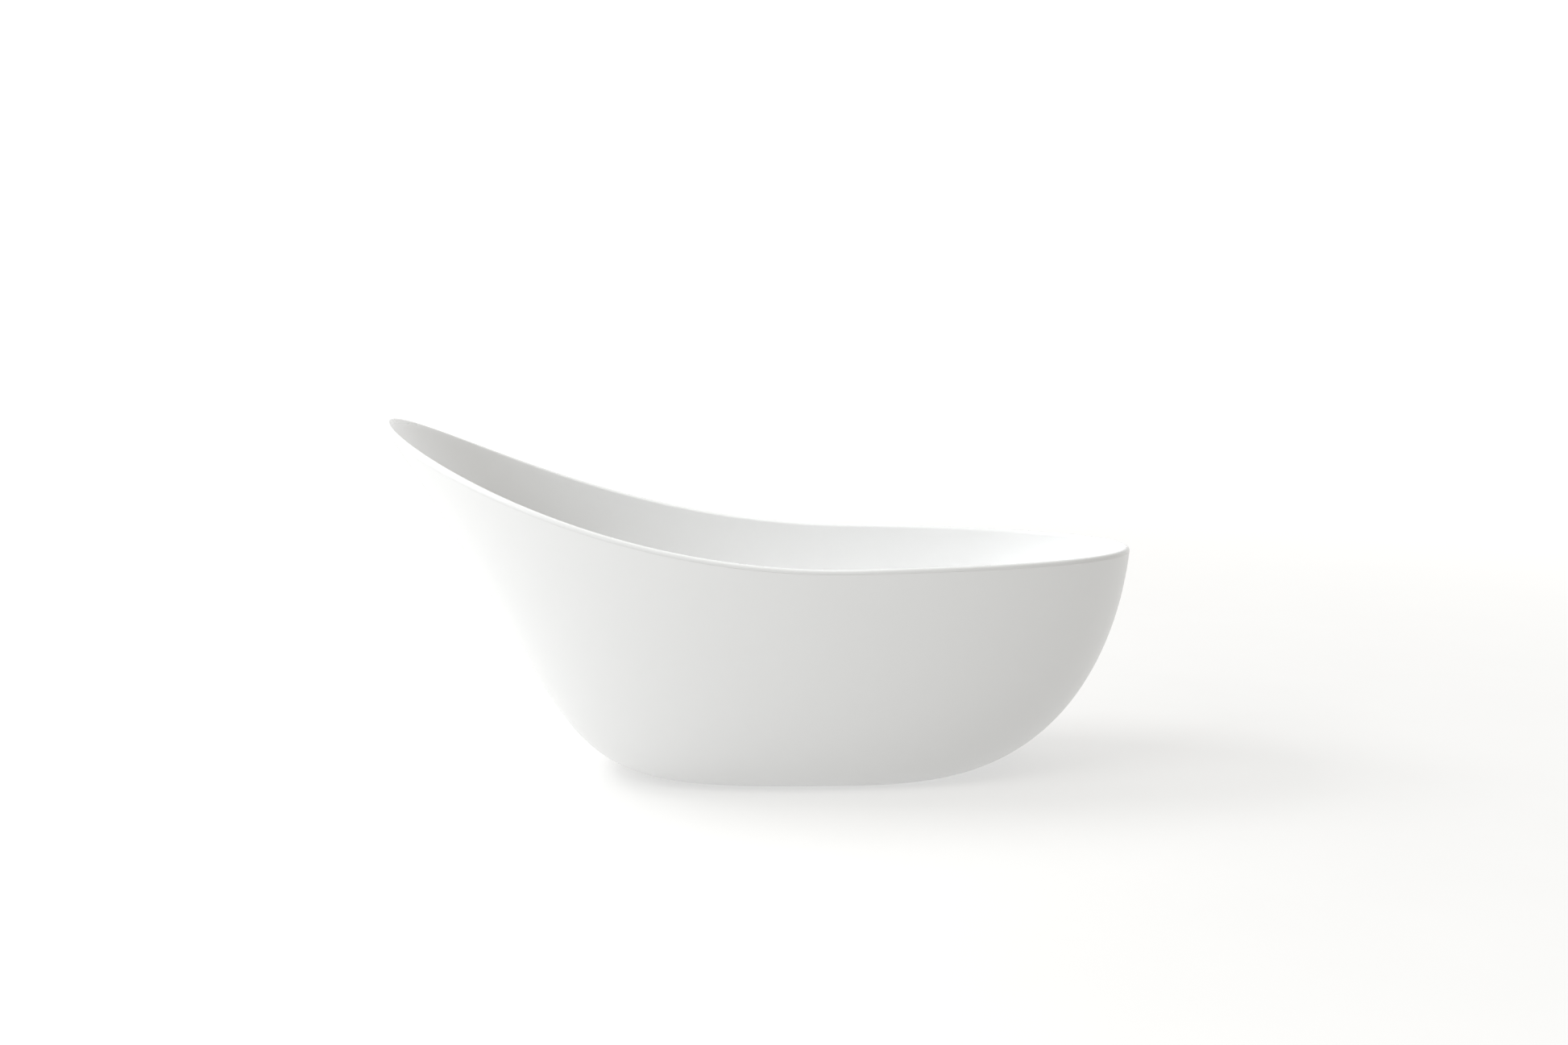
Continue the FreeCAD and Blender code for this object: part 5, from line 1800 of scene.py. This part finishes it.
    def build_spring(self) -> None:
        """Model the plug's spring."""
        low, top = foot_of("plug_spring"), head_of("plug_spring")
        Bench.clear()
        bpy.ops.mesh.primitive_circle_add(
            vertices=12, radius=self.wire, rotation=(math.pi / 2.0, 0.0, 0.0),
            location=(self.coil, 0.0, low + self.wire),
        )
        spring = Bench.settle(Bench.named("coil_spring"))
        rise = top - low - 2.0 * self.wire
        Bench.wound(spring, rise / self.coil_turns, self.coil_turns)
        Bench.smooth(self.place(spring), 60.0)
        Bench.finish(spring, Finishes.SPRING_STEEL, "spring_steel", TUB, ["plug_spring"])
        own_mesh(spring)

    def build(self) -> None:
        """Model the waste and the plug's cap and spring."""
        self.build_flange()
        self.build_nuts()
        self.build_body()
        self.build_cap()
        self.build_spring()


@dataclass
class Overflow:
    """Cover, screw, body and pipe clips of the overflow."""

    form: TubForm
    drop: float = 0.120
    cover: float = 0.032
    front: float = 0.009
    shell: float = 0.002
    screw: float = 0.003
    body: float = 0.029
    hole: float = 0.022
    body_front: float = -0.0105
    body_back: float = -0.0295
    pipe_depth: float = -0.020
    spigot: float = 0.008
    spigot_bore: float = 0.006
    spigot_long: float = 0.020
    pipe: float = 0.010
    clip_wall: float = 0.0015
    clip_width: float = 0.008
    pipe_height: float = 0.066

    def __post_init__(self) -> None:
        """Work out the overflow's own axes."""
        self.matrix = self.form.overflow_matrix(self.form.rim_low - self.drop)

    def build_cover(self) -> None:
        """Model the cover: a shallow cap with a rolled edge and a mouth on its lower side."""
        front, edge = self.front, self.cover
        back, inner = front - self.shell, edge - self.shell
        cap = Bench.turned("cover_cap", [
            (self.screw + 0.0001, back), (inner - 0.0008, back), (inner, back - 0.0008), (inner, 0.0),
            (edge, 0.0), (edge, front - 0.0022), (edge - 0.0003, front - 0.0012),
            (edge - 0.0010, front - 0.0004), (edge - 0.0021, front), (edge - 0.0075, front - 0.0001),
            (0.0095, front - 0.0004), (0.0080, front - 0.0001), (0.0072, front),
            (self.screw + 0.0001, front),
        ], 96)
        mouth = Bench.block("mouth_tool", (edge, edge, front - 2.0 * self.shell),
                            (-edge * 0.9, 0.0, front / 2.0 - self.shell / 2.0))
        Bench.ease(mouth, 0.0012, 3)
        Bench.cut(cap, mouth)
        Bench.ease(cap, 0.00018, 2, 40.0)
        Bench.smooth(Bench.turn_to(cap, self.matrix), 30.0)
        Bench.finish(cap, Finishes.CHROME, "chrome", TUB, ["overflow_cover"])

    def build_screw(self) -> None:
        """Model the cover's screw with its cross recess."""
        head = self.front
        screw = Bench.turned("cover_screw", [
            (0.0, head + 0.0020), (0.0028, head + 0.0019), (0.0048, head + 0.0013),
            (0.0058, head + 0.0005),
            (0.0060, head), (self.screw, head), (self.screw, self.body_back + 0.0036),
            (self.screw - 0.0006, self.body_back + 0.0030), (0.0, self.body_back + 0.0030),
        ], 48)
        Bench.cross_recess(screw, 0.0066, 0.0012, 0.0022, head + 0.0020)
        Bench.smooth(Bench.turn_to(screw, self.matrix), 30.0)
        Bench.finish(screw, Finishes.CHROME, "chrome", TUB, ["overflow_screw"])

    def build_body(self) -> None:
        """Model the body behind the wall, with its screw pillar, hoop and spigot."""
        low, top = self.body_back, self.body_front
        floor = low + self.shell
        can = Bench.turned("overflow_can", [
            (0.0, low), (self.body - 0.0015, low), (self.body, low + 0.0015), (self.body, low + 0.0130),
            (self.body + 0.0004, low + 0.0136), (self.body + 0.0004, top - 0.0006), (self.body, top),
            (self.hole, top), (self.hole, floor + 0.001), (self.hole - 0.001, floor),
            (self.screw + 0.0038, floor), (self.screw + 0.003, floor + 0.0008),
            (self.screw + 0.003, top - 0.0004), (self.screw + 0.0026, top), (self.screw, top),
            (self.screw, floor), (0.0, floor),
        ], 96)
        reach = self.body + self.spigot_long
        spigot = Bench.turned("overflow_spigot", [
            (self.spigot_bore, self.hole + 0.0005), (self.spigot, self.hole + 0.0005),
            (self.spigot, reach - 0.0010), (self.spigot - 0.0006, reach), (self.spigot_bore, reach),
        ], 48)
        down = quarter_turn("Y", (0.0, 0.0, self.pipe_depth), -1.0)
        Bench.turn_to(spigot, down)
        way = Bench.bar("way_tool", self.spigot_bore + 0.0002, 0.016, (0.0, 0.0, self.hole + 0.003))
        Bench.cut(can, Bench.turn_to(way, down))
        whole = Bench.turn_to(Bench.join("overflow_can", [can, spigot]), self.matrix)
        Bench.smooth(whole, 30.0)
        Bench.finish(whole, Finishes.MOULDED_WHITE, "white_plastic", TUB, ["overflow_body"])

    def build_clip(self) -> bpy.types.Object:
        """Model a worm-drive clip about the Z axis: band, housing and screw.

        Returns:
            The clip.
        """
        inner, outer = self.pipe, self.pipe + self.clip_wall
        half = self.clip_width / 2.0
        band = Bench.turned("band", [
            (inner, -half), (outer - 0.0004, -half), (outer, -half + 0.0006), (outer, half - 0.0006),
            (outer - 0.0004, half), (inner, half),
        ], 64)
        slots = []
        for k in range(9):
            slot = Bench.block("slot", (0.0012, 0.0009, self.clip_width * 0.55), (outer, 0.0, 0.0))
            turn = Matrix.Rotation(math.radians(60.0 + 10.0 * k), 4, "Z")
            slots.append(Bench.turn_to(slot, turn))
        Bench.cut(band, Bench.join("slots", slots))
        housing = Bench.block("housing", (0.0042, 0.0090, self.clip_width - 0.0006),
                              (outer + 0.0019, 0.0, 0.0))
        Bench.ease(housing, 0.0008, 3)
        worm = Bench.turned("worm", [
            (0.0, -0.0066), (0.0018, -0.0066), (0.0021, -0.0062), (0.0021, 0.0062), (0.0, 0.0062),
        ], 24)
        head = Bench.hexagon("worm_head", 0.0035, 0.0050, 0.0074, 0.0012)
        screw = Bench.turn_to(Bench.join("worm", [worm, head]),
                              quarter_turn("X", (outer + 0.0020, 0.0, 0.0)))
        return Bench.smooth(Bench.join("clip", [band, housing, screw]), 30.0)

    def build_clips(self) -> None:
        """Copy the clip to both ends of the pipe."""
        clip = self.build_clip()
        below = (-(self.body + self.clip_width), 0.0, self.pipe_depth)
        upper = Bench.turn_to(Bench.copy(clip, "clip_upper"),
                              self.matrix @ quarter_turn("Y", below) @ quarter_turn("Z", ORIGIN))
        beside = (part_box("pipe_clips")[0][0] + self.clip_width / 2.0, 0.0, self.pipe_height)
        lower = Bench.turn_to(Bench.copy(clip, "clip_lower"), quarter_turn("Y", beside))
        Bench.discard(clip)
        clips = Bench.join("worm_clips", [upper, lower])
        Bench.finish(clips, Finishes.ZINC, "zinc_fastener", TUB, ["pipe_clips"])

    def build(self) -> None:
        """Model the overflow."""
        self.build_cover()
        self.build_screw()
        self.build_body()
        self.build_clips()


# ---- Studio ----------------------------------------------------------------------------------------


@dataclass(frozen=True)
class SoftLight:
    """A square area light aimed at a point."""

    name: str
    at: Point
    towards: Point
    size: float
    power: float
    colour: Colour = (0.975, 0.990, 1.0)

    def hang(self) -> None:
        """Add the light to the scene."""
        Bench.clear()
        bpy.ops.object.light_add(type="AREA", location=self.at)
        lamp = bpy.context.object
        lamp.name = self.name
        lamp.data.size = self.size
        lamp.data.energy = self.power
        lamp.data.color = self.colour
        aim = Vector(self.towards) - Vector(self.at)
        lamp.rotation_euler = aim.to_track_quat("-Z", "Y").to_euler()


@dataclass
class Studio:
    """Pale floor, soft light and the camera."""

    distance: float = 4.5
    side: float = 0.0008
    height: float = 1.217
    pitch: float = 7.865
    yaw: float = 0.745
    lens: float = 42.88
    paper_dark: Colour = (0.44, 0.435, 0.425)
    paper_light: Colour = (0.46, 0.455, 0.445)
    # Glow of the floor near the tub and far from it: painted light, not the paper's colour.
    near_floor_glow: Colour = (0.455, 0.457, 0.457)
    far_floor_glow: Colour = (0.74, 0.74, 0.735)
    left_glow: float = 0.34
    right_glow: float = 0.08
    top_glow: float = 0.93
    back_glow: float = 1.05
    cool: Colour = (0.975, 0.990, 1.0)
    warm: Colour = (1.0, 0.960, 0.880)
    white: Colour = (1.0, 1.0, 1.0)
    lights: tuple[SoftLight, ...] = (
        SoftLight("key_light", (-3.0, -2.5, 2.9), (0.1, 0.0, 0.25), 2.6, 76.0),
        SoftLight("basin_light", (-2.2, 0.4, 2.9), (0.7, 0.1, 0.5), 1.8, 86.0),
    )

    def build(self) -> None:
        """Set up floor, light and camera."""
        self.lay_floor()
        self.light_world()
        for light in self.lights:
            light.hang()
        self.set_camera()
        scene = bpy.context.scene
        scene.view_settings.view_transform = "Standard"
        scene.view_settings.look = "None"

    def lay_floor(self) -> None:
        """Lay a wide sheet of pale paper with a painted glow that is dimmer near the tub and brightens
        with distance from it.
        """
        Bench.clear()
        bpy.ops.mesh.primitive_plane_add(size=60.0, location=(0.0, 0.0, 0.0))
        floor = Bench.named("studio_floor")
        paper = bpy.data.materials.new("studio_paper_glow")
        paper.use_nodes = True
        shader = Shader(paper.node_tree)
        x, y, _ = shader.axes()
        away = shader.spread((x * x + y * y).maths("SQRT"), 1.5, 7.0)
        tone = shader.mix(shader.noise(3.0), self.paper_dark, self.paper_light)
        # The emission is painted light: the floor glows, less near the tub and more far off, so that it
        # reads white.
        shader.set(Base_Color=tone, Roughness=0.9, Emission_Strength=1.0)
        shader.set(Emission_Color=shader.mix(away, self.near_floor_glow, self.far_floor_glow))
        floor.data.materials.append(paper)

    def light_world(self) -> None:
        """Surround the tub with white that lights it unevenly.

        It is bright behind, and dims from the head's side to the foot's in front. A camera sees it
        plain white all round.
        """
        world = bpy.data.worlds.new("studio")
        bpy.context.scene.world = world
        world.use_nodes = True
        shader = Shader(world.node_tree, "BACKGROUND")
        parts = shader.node("ShaderNodeSeparateXYZ", {}, {
            0: shader.node("ShaderNodeTexCoord", output="Generated")
        }).socket.node.outputs
        x, y, z = (Value(shader, output) for output in parts)
        across = shader.spread(x, -0.8, 0.8)
        front = self.left_glow + across * (self.right_glow - self.left_glow)
        behind = shader.spread(y, 0.15, 0.5)
        above = shader.spread(z, 0.3, 0.9)
        level = front + above * (self.top_glow - front)
        level = level + behind * (1.0 - above) * (self.back_glow - level)
        tint = shader.mix(behind, shader.mix(across, self.cool, self.warm), self.white)
        seen = shader.node("ShaderNodeLightPath", output="Is Camera Ray")
        level = level + seen * (self.back_glow - level)
        shader.set(Color=shader.mix(seen, tint, self.white), Strength=level)

    def set_camera(self) -> None:
        """Stand the camera at the side of the tub, a little above it."""
        Bench.clear()
        bpy.ops.object.camera_add(location=(self.side, -self.distance, self.height))
        camera = bpy.context.object
        camera.name = "camera"
        camera.data.lens = self.lens
        camera.data.sensor_width = 36.0
        yaw = math.radians(self.yaw)
        pitch = math.radians(self.pitch)
        level = math.cos(pitch)
        forward = Vector((math.sin(yaw) * level, math.cos(yaw) * level, -math.sin(pitch)))
        camera.rotation_euler = forward.to_track_quat("-Z", "Y").to_euler()
        bpy.context.scene.camera = camera


def dress_nodes() -> None:
    """Give every CAD node that stays its finish."""
    finishes = {
        "acrylic_gloss_white": Finishes.ACRYLIC,
        "plywood": Finishes.PLYWOOD,
        "galvanised_steel": Finishes.GALVANISED,
        "zinc_fastener": Finishes.ZINC,
        "black_plastic": Finishes.NYLON,
        "foot_rubber": Finishes.FOOT_RUBBER,
        "seal_rubber": Finishes.SEAL_RUBBER,
        "chrome": Finishes.CHROME,
        "brass_nut": Finishes.BRASS,
        "white_plastic": Finishes.MOULDED_WHITE,
        "hose_grey": Finishes.HOSE,
        "spring_steel": Finishes.SPRING_STEEL,
    }
    for part in frame["record"]["subparts"]:
        node = frame["nodes"][part["node"]]
        material = finishes[part["material_slot"]].material()
        for holder in node.material_slots:
            holder.material = material


def main() -> None:
    """Build the tub piece by piece, then the studio."""
    logging.basicConfig(level=logging.INFO, format="%(name)s: %(message)s")
    form = TubForm()
    dress_nodes()
    Skins(form).build()
    UnderFrame().build()
    Feet().build()
    Waste().build()
    Overflow(form).build()
    Studio().build()


if __name__ == "__main__":
    main()
